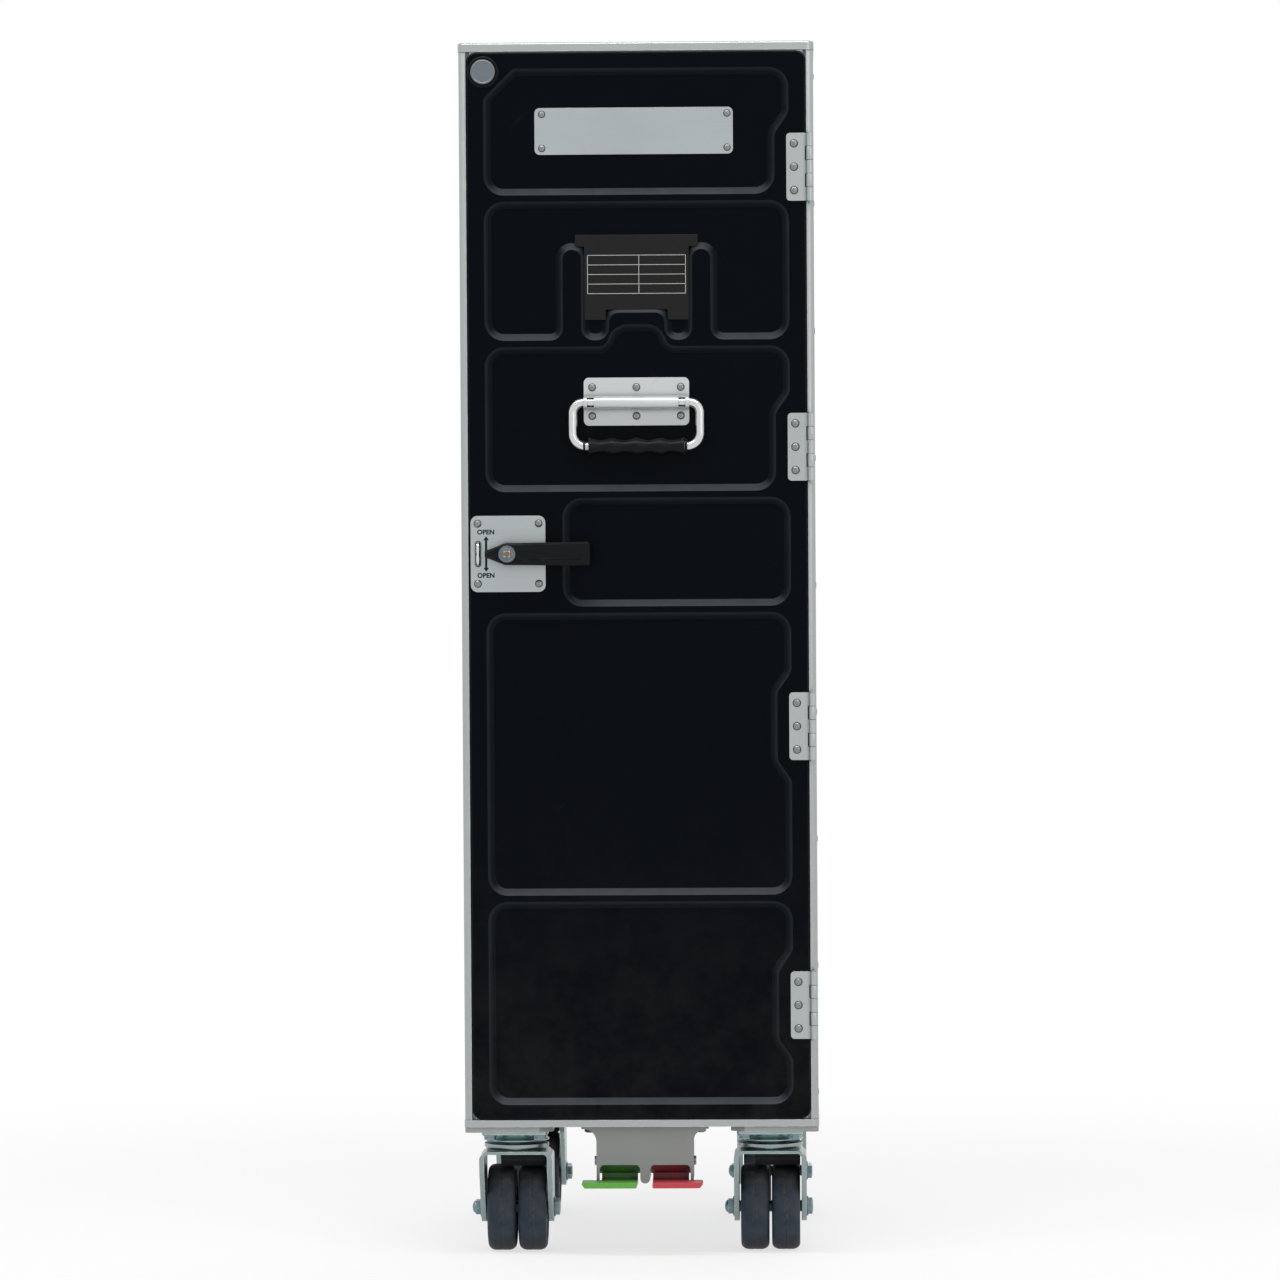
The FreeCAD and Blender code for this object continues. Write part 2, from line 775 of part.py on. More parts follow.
def make_side_panel(label, side):
    """The flat wall between a front and a rear post."""
    body = new_body(label)
    outer = (HALF_WIDTH - S.panel_recess) * side
    inner = INNER_HALF * side
    left, right = (outer, inner) if side < 0 else (inner, outer)
    front = POST_FRONT + S.post_depth
    rear = POST_REAR - S.post_depth
    pad(body, TOP, POST_BASE, POST_TOP - POST_BASE, [box_corners(left, right, front, rear)])


def make_back_panel():
    """The fixed back wall, stiffened by three pressed fields."""
    body = new_body("back_panel")
    wall = box_corners(-INNER_HALF, INNER_HALF, POST_BASE, POST_TOP)
    pad(body, FRONT, BACK_FRONT, S.back_thickness, [wall])
    clear = POST_TOP - POST_BASE - S.back_field_margin
    pitch = clear / S.back_fields
    half = INNER_HALF - S.back_field_margin
    loops = []
    for index in range(count(S.back_fields)):
        low = POST_BASE + S.back_field_margin + pitch * index
        loops.append(box_corners(-half, half, low, low + pitch - S.back_field_margin, S.field_corner))
    floor = POST_REAR - S.panel_recess - S.back_field_depth
    pocket(body, FRONT, floor, S.back_field_depth, loops)


def make_worktop():
    """The recessed top, level with the underside of the top rim."""
    body = new_body("worktop")
    plan = box_corners(-INNER_HALF, INNER_HALF, REBATE_BACK, BACK_FRONT)
    pad(body, TOP, POST_TOP - S.worktop_thickness, S.worktop_thickness, [plan])


def make_floor():
    """The cabinet floor, which the door gasket meets in front."""
    body = new_body("floor_panel")
    plan = box_corners(-INNER_HALF, INNER_HALF, REBATE_BACK, BACK_FRONT)
    pad(body, TOP, S.bottom_rim_base, S.bottom_rim_height + S.floor_rise, [plan])


def make_runners(label, side):
    """The tray ledges of one wall, each with a sloping underside."""
    body = new_body(label)
    wall = INNER_HALF * side
    tip = (INNER_HALF - S.runner_ledge) * side
    room = POST_TOP - S.worktop_thickness - S.runner_headroom - S.runner_first
    loops = []
    for index in range(int((room / S.runner_pitch).value) + 1):
        top = S.runner_first + S.runner_pitch * index
        loops.append([
            (wall, top),
            (tip, top),
            (tip, top - S.runner_nose),
            (wall, top - S.runner_height),
        ])
    front = PANEL_BACK + S.runner_door_gap
    pad(body, FRONT, front, BACK_FRONT - S.runner_back_gap - front, loops)


def cut_strike(post):
    """The opening in the left post that the latch tongue turns into."""
    tongue_front = PANEL_BACK + S.tongue_gap
    low = LATCH_LEVEL - S.strike_height / 2
    depth_left = LATCH_X - S.tongue_length - S.strike_end_gap
    front = tongue_front - S.strike_side_gap
    rear = tongue_front + S.tongue_thickness + S.strike_side_gap
    loop = box_corners(depth_left, -INNER_HALF, front, rear)
    pocket(post, TOP, low, S.strike_height, [loop])


make_rim("bottom_rim", S.bottom_rim_base, S.bottom_rim_height)
make_rim("top_rim", POST_TOP, S.top_rim_height, S.top_rim_edge)
left_post = make_front_post("post_front_left", -1)
cut_strike(left_post)
make_front_post("post_front_right", 1)
make_rear_post("post_rear_left", -1)
make_rear_post("post_rear_right", 1)
make_side_panel("side_panel_left", -1)
make_side_panel("side_panel_right", 1)
make_back_panel()
make_worktop()
make_floor()
make_runners("tray_runners_left", -1)
make_runners("tray_runners_right", 1)


# ---------------------------------------------------------------- door

def jog(level, downwards):
    """Two corners where a field's right side steps in beside a hinge leaf, or back out."""
    outside = level + S.hinge_height / 2 + S.field_jog_slope
    inside = level + S.hinge_height / 2
    if not downwards:
        outside = level - S.hinge_height / 2 - S.field_jog_slope
        inside = level - S.hinge_height / 2
    steps = [(FIELD_HALF, outside, S.field_jog_corner), (FIELD_IN, inside, S.field_jog_corner)]
    return steps if downwards else list(reversed(steps))


def field_1():
    """Name plate field, with its corner cut off round the magnet."""
    cut = S.field_cut_corner
    return [
        (-FIELD_HALF, FIELD_1_BOTTOM, S.field_corner),
        (-FIELD_HALF, FIELD_1_TOP - cut, S.pocket_tab_corner),
        (-FIELD_HALF + cut, FIELD_1_TOP, S.pocket_tab_corner),
        (FIELD_HALF, FIELD_1_TOP, S.field_corner),
    ] + jog(hinge_level(0), True) + [
        (FIELD_IN, FIELD_1_BOTTOM, S.field_corner),
    ]


def pocket_edges():
    """Left and right edge of the space between the pocket's ribs."""
    return S.pocket_middle - S.pocket_width / 2, S.pocket_middle + S.pocket_width / 2


def tab_edges():
    """Left and right edge of the tab at the foot of the card pocket."""
    return S.pocket_middle - S.pocket_tab_width / 2, S.pocket_middle + S.pocket_tab_width / 2


def field_2():
    """Card pocket field: two round-topped ribs and a tab stand up in it."""
    low = FIELD_2_BOTTOM
    rib_top = low + S.pocket_rib_height
    tab_top = low + S.pocket_tab_height
    left, right = pocket_edges()
    tab_left, tab_right = tab_edges()
    rib = S.pocket_rib_width
    foot = S.pocket_foot_corner
    cap = S.pocket_rib_corner
    return [
        (-FIELD_HALF, low, S.field_corner),
        (-FIELD_HALF, FIELD_2_TOP, S.field_corner),
        (FIELD_HALF, FIELD_2_TOP, S.field_corner),
        (FIELD_HALF, low, S.field_corner),
        (right + rib, low, foot),
        (right + rib, rib_top, cap),
        (right, rib_top, cap),
        (right, low, foot),
        (tab_right, low, foot),
        (tab_right, tab_top, S.pocket_tab_corner),
        (tab_left, tab_top, S.pocket_tab_corner),
        (tab_left, low, foot),
        (left, low, foot),
        (left, rib_top, cap),
        (left - rib, rib_top, cap),
        (left - rib, low, foot),
    ]


def field_3():
    """Handle field, with a hump in the middle of its upper edge."""
    foot = S.hump_half_width
    shoulder = S.hump_half_width - S.hump_lean
    peak = FIELD_3_TOP + S.hump_height
    return [
        (-FIELD_HALF, FIELD_3_BOTTOM, S.field_corner),
        (-FIELD_HALF, FIELD_3_TOP, S.field_corner),
        (S.pocket_middle - foot, FIELD_3_TOP, S.hump_foot_corner),
        (S.pocket_middle - shoulder, peak, S.hump_top_corner),
        (S.pocket_middle + shoulder, peak, S.hump_top_corner),
        (S.pocket_middle + foot, FIELD_3_TOP, S.hump_foot_corner),
        (FIELD_HALF, FIELD_3_TOP, S.field_corner),
    ] + jog(hinge_level(1), True) + [
        (FIELD_IN, FIELD_3_BOTTOM, S.field_corner),
    ]


def field_4():
    """Small field beside the latch."""
    return box_corners(FIELD_4_LEFT, FIELD_HALF, FIELD_4_BOTTOM, FIELD_4_TOP, S.field_corner)


def tall_field(bottom, top, level):
    """A field that steps in beside one hinge and out again below it."""
    return [
        (-FIELD_HALF, bottom, S.field_corner),
        (-FIELD_HALF, top, S.field_corner),
        (FIELD_HALF, top, S.field_corner),
    ] + jog(level, True) + jog(level, False) + [
        (FIELD_HALF, bottom, S.field_corner),
    ]


def field_edge(level):
    """A test for the fields' edges on one level of the skin."""
    at_level = level_edge("y", level)

    def test(edge):
        box = edge.BoundBox
        across = max(-box.XMin, box.XMax) < (FIELD_HALF + DOOR_HALF).value / 2
        upright = DOOR_BOTTOM.value + S.skin_edge.value < box.ZMin
        return at_level(edge) and across and upright and box.ZMax < (FIELD_1_TOP + DOOR_TOP).value / 2
    return test


def make_door_skin():
    """The moulded outer skin, with its six recessed fields and the boss under the magnet."""
    body = new_body("door_skin")
    plan = box_corners(-DOOR_HALF, DOOR_HALF, DOOR_BOTTOM, DOOR_TOP, S.door_corner)
    slab = pad(body, FRONT, POST_FRONT, S.skin_thickness, [plan])
    fillet(body, slab, S.skin_edge, level_edge("y", POST_FRONT))
    taper = arctangent(S.field_wall_run / S.field_depth)
    fields = [
        field_1(),
        field_2(),
        field_3(),
        field_4(),
        tall_field(FIELD_5_BOTTOM, FIELD_5_TOP, hinge_level(2)),
        tall_field(FIELD_6_BOTTOM, FIELD_6_TOP, hinge_level(3)),
    ]
    for loop in fields:
        skin = pocket(body, FRONT, POST_FRONT, S.field_depth, [loop], -taper)
    skin = fillet(body, skin, S.field_edge_round, field_edge(POST_FRONT))
    fillet(body, skin, S.field_floor_round, field_edge(FIELD_FLOOR))
    boss = Ring(MAGNET_X, MAGNET_LEVEL, S.magnet_boss_radius)
    pad(body, FRONT, POST_FRONT - S.magnet_boss_height, S.magnet_boss_height, [boss])
    spindle = Ring(LATCH_X, LATCH_LEVEL, S.spindle_hole_radius)
    pocket(body, FRONT, POST_FRONT, S.skin_thickness, [spindle])


def make_inner_panel():
    """The inner half of the door, which plugs the opening behind the skin."""
    body = new_body("door_inner_panel")
    half = INNER_HALF - S.inner_panel_gap
    low = POST_BASE + S.floor_rise + S.inner_panel_end_gap
    high = POST_TOP - S.worktop_thickness - S.inner_panel_end_gap
    plan = box_corners(-half, half, low, high, S.door_corner)
    slab = pad(body, FRONT, SKIN_BACK, S.inner_panel_thickness, [plan])
    fillet(body, slab, S.skin_edge, level_edge("y", PANEL_BACK))
    spindle = Ring(LATCH_X, LATCH_LEVEL, S.spindle_hole_radius)
    pocket(body, FRONT, SKIN_BACK, S.inner_panel_thickness, [spindle])


def make_gasket():
    """The seal between the back of the skin and the rebate of the frame."""
    body = new_body("door_gasket")
    half = DOOR_HALF - S.gasket_edge_gap
    low = DOOR_BOTTOM + S.gasket_edge_gap
    high = DOOR_TOP - S.gasket_edge_gap
    width = S.gasket_width
    outer = box_corners(-half, half, low, high, S.door_corner)
    inner = box_corners(-half + width, half - width, low + width, high - width, S.door_corner - width)
    pad(body, FRONT, SKIN_BACK, S.gasket_thickness, [outer, inner])


def make_data_card():
    """The card held between the sloping walls of the pocket's ribs."""
    body = new_body("data_card")
    slope = S.field_wall_run * (S.card_depth + S.card_thickness) / S.field_depth + S.card_gap
    left, right = pocket_edges()
    tab_left, tab_right = tab_edges()
    bottom = FIELD_2_BOTTOM + S.card_bottom_rise
    notch = FIELD_2_BOTTOM + S.pocket_tab_height + slope
    ear = FIELD_2_BOTTOM + S.pocket_rib_height + slope
    top = ear + S.card_head_height
    sheet = [
        (left + slope, bottom),
        (tab_left - slope, bottom),
        (tab_left - slope, notch),
        (tab_right + slope, notch),
        (tab_right + slope, bottom),
        (right - slope, bottom),
        (right - slope, ear),
        (right + S.card_head_ear, ear),
        (right + S.card_head_ear, top),
        (left - S.card_head_ear, top),
        (left - S.card_head_ear, ear),
        (left + slope, ear),
    ]
    pad(body, FRONT, POST_FRONT + S.card_depth, S.card_thickness, [sheet])


def make_name_plate():
    """The bare plate in the top field."""
    body = new_body("name_plate")
    half_width = S.name_plate_width / 2
    half_height = S.name_plate_height / 2
    plan = box_corners(
        S.name_plate_middle - half_width, S.name_plate_middle + half_width,
        NAME_PLATE_LEVEL - half_height, NAME_PLATE_LEVEL + half_height, S.plate_corner)
    pad(body, FRONT, FIELD_FLOOR - S.plate_thickness, S.plate_thickness, [plan])


def make_magnet():
    """The round magnet that holds the open door, with a bevelled rim."""
    body = new_body("hold_open_magnet")
    front = POST_FRONT - S.magnet_boss_height - S.magnet_height
    disc = Ring(MAGNET_X, MAGNET_LEVEL, S.magnet_radius)
    feature = pad(body, FRONT, front, S.magnet_height, [disc])
    chamfer(body, feature, S.magnet_bevel, level_edge("y", front))


make_door_skin()
make_inner_panel()
make_gasket()
make_data_card()
make_name_plate()
make_magnet()


# ---------------------------------------------------------------- hinges

KNUCKLES = 5
KNUCKLE_PITCH = S.hinge_height / KNUCKLES


def knuckle_span(level, index):
    """Bottom and height of one knuckle of a hinge."""
    bottom = level - S.hinge_height / 2 + KNUCKLE_PITCH * index + S.knuckle_gap / 2
    return bottom, KNUCKLE_PITCH - S.knuckle_gap


def make_door_leaves():
    """The leaves on the door: a flat plate and three knuckles for each hinge."""
    body = new_body("hinge_door_leaves")
    right = DOOR_HALF - S.hinge_edge_gap
    left = right - S.hinge_leaf_width
    leaf_front = POST_FRONT - S.hinge_leaf_thickness
    neck_back = POST_FRONT - S.knuckle_air
    bore = Ring(HINGE_X, HINGE_Y, S.pin_radius + S.pin_clearance)
    for index in range(count(S.hinge_count)):
        level = hinge_level(index)
        plate = box_corners(left, right, level - S.hinge_height / 2, level + S.hinge_height / 2)
        pad(body, FRONT, leaf_front, S.hinge_leaf_thickness, [plate])
        for number in range(0, KNUCKLES, 2):
            bottom, height = knuckle_span(level, number)
            neck = box_corners(right, HINGE_X, leaf_front, neck_back)
            pad(body, TOP, bottom, height, [Ring(HINGE_X, HINGE_Y, S.knuckle_radius)])
            pad(body, TOP, bottom, height, [neck])
    low = hinge_level(count(S.hinge_count) - 1) - S.hinge_height
    pocket(body, TOP, low, hinge_level(0) + S.hinge_height - low, [bore])


def make_frame_leaves():
    """The knuckles on the post, two for each hinge, each on a foot."""
    body = new_body("hinge_frame_leaves")
    foot_half = S.knuckle_radius - S.knuckle_gap
    for index in range(count(S.hinge_count)):
        for number in range(1, KNUCKLES, 2):
            bottom, height = knuckle_span(hinge_level(index), number)
            foot = box_corners(HINGE_X - foot_half, HINGE_X + foot_half, HINGE_Y, POST_FRONT)
            pad(body, TOP, bottom, height, [Ring(HINGE_X, HINGE_Y, S.knuckle_radius)])
            pad(body, TOP, bottom, height, [foot])
    low = hinge_level(count(S.hinge_count) - 1) - S.hinge_height
    bore = Ring(HINGE_X, HINGE_Y, S.pin_radius)
    pocket(body, TOP, low, hinge_level(0) + S.hinge_height - low, [bore])


def make_hinge_pins():
    """One pin for each hinge, with a small head at both ends."""
    body = new_body("hinge_pins")
    for index in range(count(S.hinge_count)):
        bottom = hinge_level(index) - S.hinge_height / 2
        shaft = Ring(HINGE_X, HINGE_Y, S.pin_radius)
        head = Ring(HINGE_X, HINGE_Y, S.pin_head_radius)
        pad(body, TOP, bottom, S.hinge_height, [shaft])
        pad(body, TOP, bottom - S.pin_head_height, S.pin_head_height, [head])
        pad(body, TOP, bottom + S.hinge_height, S.pin_head_height, [head])


make_door_leaves()
make_frame_leaves()
make_hinge_pins()



# ---------------------------------------------------------------- bail handle

HANDLE_LEFT = S.handle_middle - S.handle_plate_width / 2
HANDLE_RIGHT = S.handle_middle + S.handle_plate_width / 2
BAIL_LEFT = S.handle_middle - S.bail_width / 2
BAIL_RIGHT = S.handle_middle + S.bail_width / 2
BAIL_BOTTOM = BAIL_LEVEL - S.bail_drop
BARREL_BORE = S.bail_rod_radius + S.bail_clearance
BARREL_RADIUS = BARREL_BORE + S.barrel_wall


def make_handle_plate():
    """The plate with a pressed barrel that the bail's rod turns in."""
    body = new_body("handle_plate")
    low = HANDLE_PLATE_LEVEL - S.handle_plate_height / 2
    plan = box_corners(HANDLE_LEFT, HANDLE_RIGHT, low, low + S.handle_plate_height, S.plate_corner)
    pad(body, FRONT, HANDLE_PLATE_FRONT, S.plate_thickness, [plan])
    upper = BAIL_LEVEL + BARREL_RADIUS
    lower = BAIL_LEVEL - BARREL_RADIUS
    bulge = [
        (HANDLE_PLATE_FRONT, lower),
        (HANDLE_PLATE_FRONT, upper),
        (BAIL_Y - BARREL_RADIUS, upper, BARREL_RADIUS - 0.01),
        (BAIL_Y - BARREL_RADIUS, lower, BARREL_RADIUS - 0.01),
    ]
    pad(body, SIDE, HANDLE_LEFT, S.handle_plate_width, [bulge])
    bore = Ring(BAIL_Y, BAIL_LEVEL, BARREL_BORE)
    pocket(body, SIDE, HANDLE_LEFT, S.handle_plate_width, [bore])
    windows = []
    for start in (
            HANDLE_LEFT + S.barrel_window_inset,
            HANDLE_RIGHT - S.barrel_window_inset - S.barrel_window_width):
        windows.append(box_corners(
            start, start + S.barrel_window_width,
            BAIL_LEVEL - S.bail_rod_radius, BAIL_LEVEL + S.bail_rod_radius))
    pocket(body, FRONT, BAIL_Y - BARREL_RADIUS, BARREL_RADIUS, windows)


def make_bail_rod():
    """The bent rod; its two ends meet inside the barrel."""
    body = new_body("bail_rod")
    middle = S.handle_middle
    path = new_sketch(body, FRONT, BAIL_Y)
    outline(path, [
        (middle - S.bail_split / 2, BAIL_LEVEL),
        (BAIL_LEFT, BAIL_LEVEL, S.bail_top_bend),
        (BAIL_LEFT, BAIL_BOTTOM, S.bail_bottom_bend),
        (BAIL_RIGHT, BAIL_BOTTOM, S.bail_bottom_bend),
        (BAIL_RIGHT, BAIL_LEVEL, S.bail_top_bend),
        (middle + S.bail_split / 2, BAIL_LEVEL),
    ], closed=False)
    section = new_sketch(body, SIDE, middle - S.bail_split / 2)
    draw(section, Ring(BAIL_Y, BAIL_LEVEL, S.bail_rod_radius))
    pipe = body.newObject("PartDesign::AdditivePipe", "bail_rod_pipe")
    pipe.Profile = section
    pipe.Spine = path


def make_bail_grip():
    """The wavy sleeve on the bail's lower bar."""
    body = new_body("bail_grip")
    waves = count(S.grip_waves)
    half = S.grip_length / 2
    step = S.grip_length / waves / 2
    bore = S.bail_rod_radius
    profile = [(-half, bore)]
    for index in range(2 * waves + 1):
        radius = S.grip_peak_radius if index % 2 == 0 else S.grip_valley_radius
        along = step * index - half
        if index in (0, 2 * waves):
            profile.append((along, radius))
        else:
            profile.append((along, radius, S.grip_wave_corner))
    profile.append((half, bore))
    revolve(body, FRONT, "H_Axis", [profile])
    place(body, S.handle_middle, BAIL_Y, BAIL_BOTTOM)


make_handle_plate()
make_bail_rod()
make_bail_grip()


# ---------------------------------------------------------------- latch

def make_latch_plate():
    """The plate under the lever, with the slot that the seal staple stands in."""
    body = new_body("latch_plate")
    half_width = S.latch_plate_width / 2
    half_height = S.latch_plate_height / 2
    plan = box_corners(
        LATCH_X - half_width, LATCH_X + half_width,
        LATCH_LEVEL - half_height, LATCH_LEVEL + half_height, S.latch_plate_corner)
    slot = box_corners(
        STAPLE_X - S.staple_slot_width / 2, STAPLE_X + S.staple_slot_width / 2,
        LATCH_LEVEL - S.staple_slot_height / 2, LATCH_LEVEL + S.staple_slot_height / 2,
        S.staple_slot_width / 2 - 0.01)
    spindle = Ring(LATCH_X, LATCH_LEVEL, S.spindle_hole_radius)
    pad(body, FRONT, LATCH_PLATE_FRONT, S.plate_thickness, [plan, slot, spindle])


def make_staple():
    """The upright eye that a seal or a small padlock goes through."""
    body = new_body("seal_staple")
    half = S.staple_slot_height / 2 - S.staple_side_gap
    front = POST_FRONT - S.staple_reach
    tab = [
        (POST_FRONT, LATCH_LEVEL - half),
        (POST_FRONT, LATCH_LEVEL + half),
        (front, LATCH_LEVEL + half, S.staple_reach / 2),
        (front, LATCH_LEVEL - half, S.staple_reach / 2),
    ]
    eye = Ring(POST_FRONT - S.staple_reach / 2 - S.staple_side_gap / 2, LATCH_LEVEL, S.staple_eye_radius)
    pad(body, SIDE, STAPLE_X - S.staple_thickness / 2, S.staple_thickness, [tab, eye])


def make_lever():
    """The turning lever: a pointer on one side and a long grip on the other."""
    body = new_body("latch_lever")
    centre = LATCH_LEVEL
    tip = LATCH_X - S.lever_tip_reach
    end = LATCH_X + S.lever_reach
    hub = S.lever_hub_radius
    shoulder = LATCH_X - S.lever_shoulder
    half_end = S.lever_end_height / 2
    half_tip = S.lever_tip_height / 2
    shape = [
        (tip, centre - half_tip),
        (tip, centre + half_tip),
        (shoulder, centre + hub, hub),
        (end, centre + half_end, S.lever_corner),
        (end, centre - half_end, S.lever_corner),
        (shoulder, centre - hub, hub),
    ]
    feature = pad(body, FRONT, LEVER_FRONT, S.lever_thickness, [shape])
    chamfer(body, feature, S.lever_chamfer, level_edge("y", LEVER_FRONT))
    middle = centre - S.lever_groove_drop
    half_groove = S.lever_groove_width / 2
    groove = box_corners(
        LATCH_X + S.lever_groove_start, end - S.lever_groove_end_gap,
        middle - half_groove, middle + half_groove)
    pocket(body, FRONT, LEVER_FRONT, S.lever_groove_depth, [groove])
    neck = Ring(LATCH_X, centre, S.lever_hub_radius)
    neck_length = LATCH_PLATE_FRONT - S.lever_plate_gap - LEVER_BACK
    pad(body, FRONT, LEVER_BACK, neck_length, [neck])
    seat = Ring(LATCH_X, centre, S.hub_disc_radius)
    pocket(body, FRONT, LEVER_FRONT, S.hub_disc_depth, [seat])
    half = S.spindle_width / 2
    bore = box_corners(LATCH_X - half, LATCH_X + half, centre - half, centre + half)
    pocket(body, FRONT, LEVER_FRONT, LATCH_PLATE_FRONT - LEVER_FRONT, [bore])


def make_latch_spindle():
    """The disc set into the lever, its raised square, and the square spindle through the door."""
    body = new_body("latch_spindle")
    centre = LATCH_LEVEL
    disc_front = LEVER_FRONT + S.hub_square_height
    seat = LEVER_FRONT + S.hub_disc_depth
    pad(body, FRONT, disc_front, seat - disc_front, [Ring(LATCH_X, centre, S.hub_disc_radius)])
    half = S.hub_square / 2
    square = box_corners(LATCH_X - half, LATCH_X + half, centre - half, centre + half)
    pad(body, FRONT, LEVER_FRONT, S.hub_square_height, [square])
    half = S.spindle_width / 2
    shaft = box_corners(LATCH_X - half, LATCH_X + half, centre - half, centre + half)
    rear = PANEL_BACK + S.tongue_gap + S.tongue_thickness
    pad(body, FRONT, seat, rear - seat, [shaft])


def make_tongue():
    """The tongue on the spindle's inner end, which turns in behind the front of the post."""
    body = new_body("latch_tongue")
    half = S.tongue_width / 2
    centre = LATCH_LEVEL
    shape = [
        (LATCH_X - S.tongue_length, centre - half, S.tongue_corner),
        (LATCH_X - S.tongue_length, centre + half, S.tongue_corner),
        (LATCH_X + half, centre + half, S.tongue_corner),
        (LATCH_X + half, centre - half, S.tongue_corner),
    ]
    square = S.spindle_width / 2
    hole = box_corners(LATCH_X - square, LATCH_X + square, centre - square, centre + square)
    pad(body, FRONT, PANEL_BACK + S.tongue_gap, S.tongue_thickness, [shape, hole])


make_latch_plate()
make_staple()
make_lever()
make_latch_spindle()
make_tongue()


# ---------------------------------------------------------------- casters

CORNERS = [
    ("front_left", -CASTER_X, CASTER_FRONT, -1, -1),
    ("front_right", CASTER_X, CASTER_FRONT, 1, -1),
    ("rear_left", -CASTER_X, CASTER_REAR, -1, 1),
    ("rear_right", CASTER_X, CASTER_REAR, 1, 1),
]
AXLE_LEVEL = S.wheel_radius
FORK_OUTER_HALF = S.fork_inner_width / 2 + S.fork_wall
RACE_TOP = S.fork_crown_level + S.race_lower_height


def make_corner_plate(name, side, end):
    """The stiffening plate that a caster bolts to, tapered towards the cart's middle."""
    body = new_body("corner_plate_" + name)
    outer = HALF_WIDTH * side
    inner = (HALF_WIDTH - S.corner_plate_width) * side
    edge = POST_FRONT if end < 0 else POST_REAR
    far = edge - S.corner_plate_length * end
    taper = S.corner_plate_taper
    shape = [
        (outer, edge, S.post_corner),
        (outer, far),
        (inner + taper * side, far),
        (inner, far + taper * end),
        (inner, edge - taper * end),
        (inner + taper * side, edge),
    ]
    pad(body, TOP, CORNER_PLATE_BASE, S.corner_plate_thickness, [shape])


def make_caster_plate(name, x, y):
    """The caster's fixed half: bolted plate, upper race and kingpin with its nut."""
    body = new_body("caster_plate_" + name)
    half_width = S.caster_plate_width / 2
    half_length = S.caster_plate_length / 2
    plan = box_corners(-half_width, half_width, -half_length, half_length, S.caster_plate_corner)
    pad(body, TOP, CASTER_PLATE_BASE, S.caster_plate_thickness, [plan])
    race_bottom = RACE_TOP + S.race_gap
    race = [
        (0, race_bottom),
        (S.race_upper_radius, race_bottom, S.race_edge),
        (S.race_upper_radius, race_bottom + S.race_upper_height / 2, S.race_edge),
        (S.race_neck_radius, CASTER_PLATE_BASE),
        (0, CASTER_PLATE_BASE),
    ]
    revolve(body, FRONT, "V_Axis", [race])
    crown_under = S.fork_crown_level - S.fork_wall
    pin_bottom = crown_under - S.race_gap
    pad(body, TOP, pin_bottom, race_bottom - pin_bottom, [Ring(0, 0, S.kingpin_radius)])
    nut_bottom = pin_bottom - S.kingpin_nut_height
    pad(body, TOP, nut_bottom, S.kingpin_nut_height, [Ring(0, 0, S.kingpin_nut_radius)])
    place(body, x, y)


def make_fork(name, x, y):
    """The swivelling fork: lower race, crown and two tapering legs."""
    body = new_body("caster_fork_" + name)
    crown_half = S.fork_crown_length / 2
    crown_base = S.fork_crown_level - S.fork_wall
    inner_half = S.fork_inner_width / 2
    foot = S.fork_foot_radius
    drop = AXLE_LEVEL - foot
    toe = S.caster_trail + foot
    bent_sheet = [
        (-FORK_OUTER_HALF, drop),
        (-FORK_OUTER_HALF, S.fork_crown_level, S.fork_bend),
        (FORK_OUTER_HALF, S.fork_crown_level, S.fork_bend),
        (FORK_OUTER_HALF, drop),
        (inner_half, drop),
        (inner_half, crown_base, S.fork_bend - S.fork_wall),
        (-inner_half, crown_base, S.fork_bend - S.fork_wall),
        (-inner_half, drop),
    ]
    pad(body, FRONT, -crown_half, crown_half + toe, [bent_sheet])
    margin = S.fork_wall
    over = S.fork_crown_level + margin
    around = box_corners(-crown_half - margin, toe + margin, drop - margin, over + margin)
    leg = [
        (-crown_half, S.fork_crown_level - S.fork_crown_drop, S.fork_crown_corner),
        (-crown_half, over),
        (crown_half, over),
        (toe, drop, foot - 0.01),
        (S.caster_trail - foot, drop, foot - 0.01),
    ]
    pocket(body, SIDE, -FORK_OUTER_HALF, FORK_OUTER_HALF * 2, [around, leg])
    bore = Ring(S.caster_trail, AXLE_LEVEL, S.axle_radius)
    pocket(body, SIDE, -FORK_OUTER_HALF, FORK_OUTER_HALF * 2, [bore])
    race = [
        (0, S.fork_crown_level),
        (S.race_lower_radius - S.race_edge, S.fork_crown_level),
        (S.race_lower_radius, S.fork_crown_level + S.race_lower_height / 2, S.race_edge),
        (S.race_lower_radius, RACE_TOP),
        (0, RACE_TOP),
    ]
    revolve(body, FRONT, "V_Axis", [race])
    hole = Ring(0, 0, S.kingpin_radius + S.kingpin_clearance)
    pocket(body, TOP, crown_base, RACE_TOP - crown_base, [hole])
    place(body, x, y)


def make_axle(name, x, y):
    """The wheel bolt, with its head on the right and its nut on the left."""
    body = new_body("caster_axle_" + name)
    half = FORK_OUTER_HALF
    nut = half + S.axle_nut_height
    shape = [
        (-nut, 0),
        (-nut, S.axle_nut_radius, S.axle_nut_height - 1),
        (-half, S.axle_nut_radius),
        (-half, S.axle_radius),
        (half, S.axle_radius),
        (half, S.axle_nut_radius),
        (nut, S.axle_nut_radius, 1.0),
        (nut, 0),
    ]
    revolve(body, FRONT, "H_Axis", [shape])
    place(body, x, y + S.caster_trail, AXLE_LEVEL)


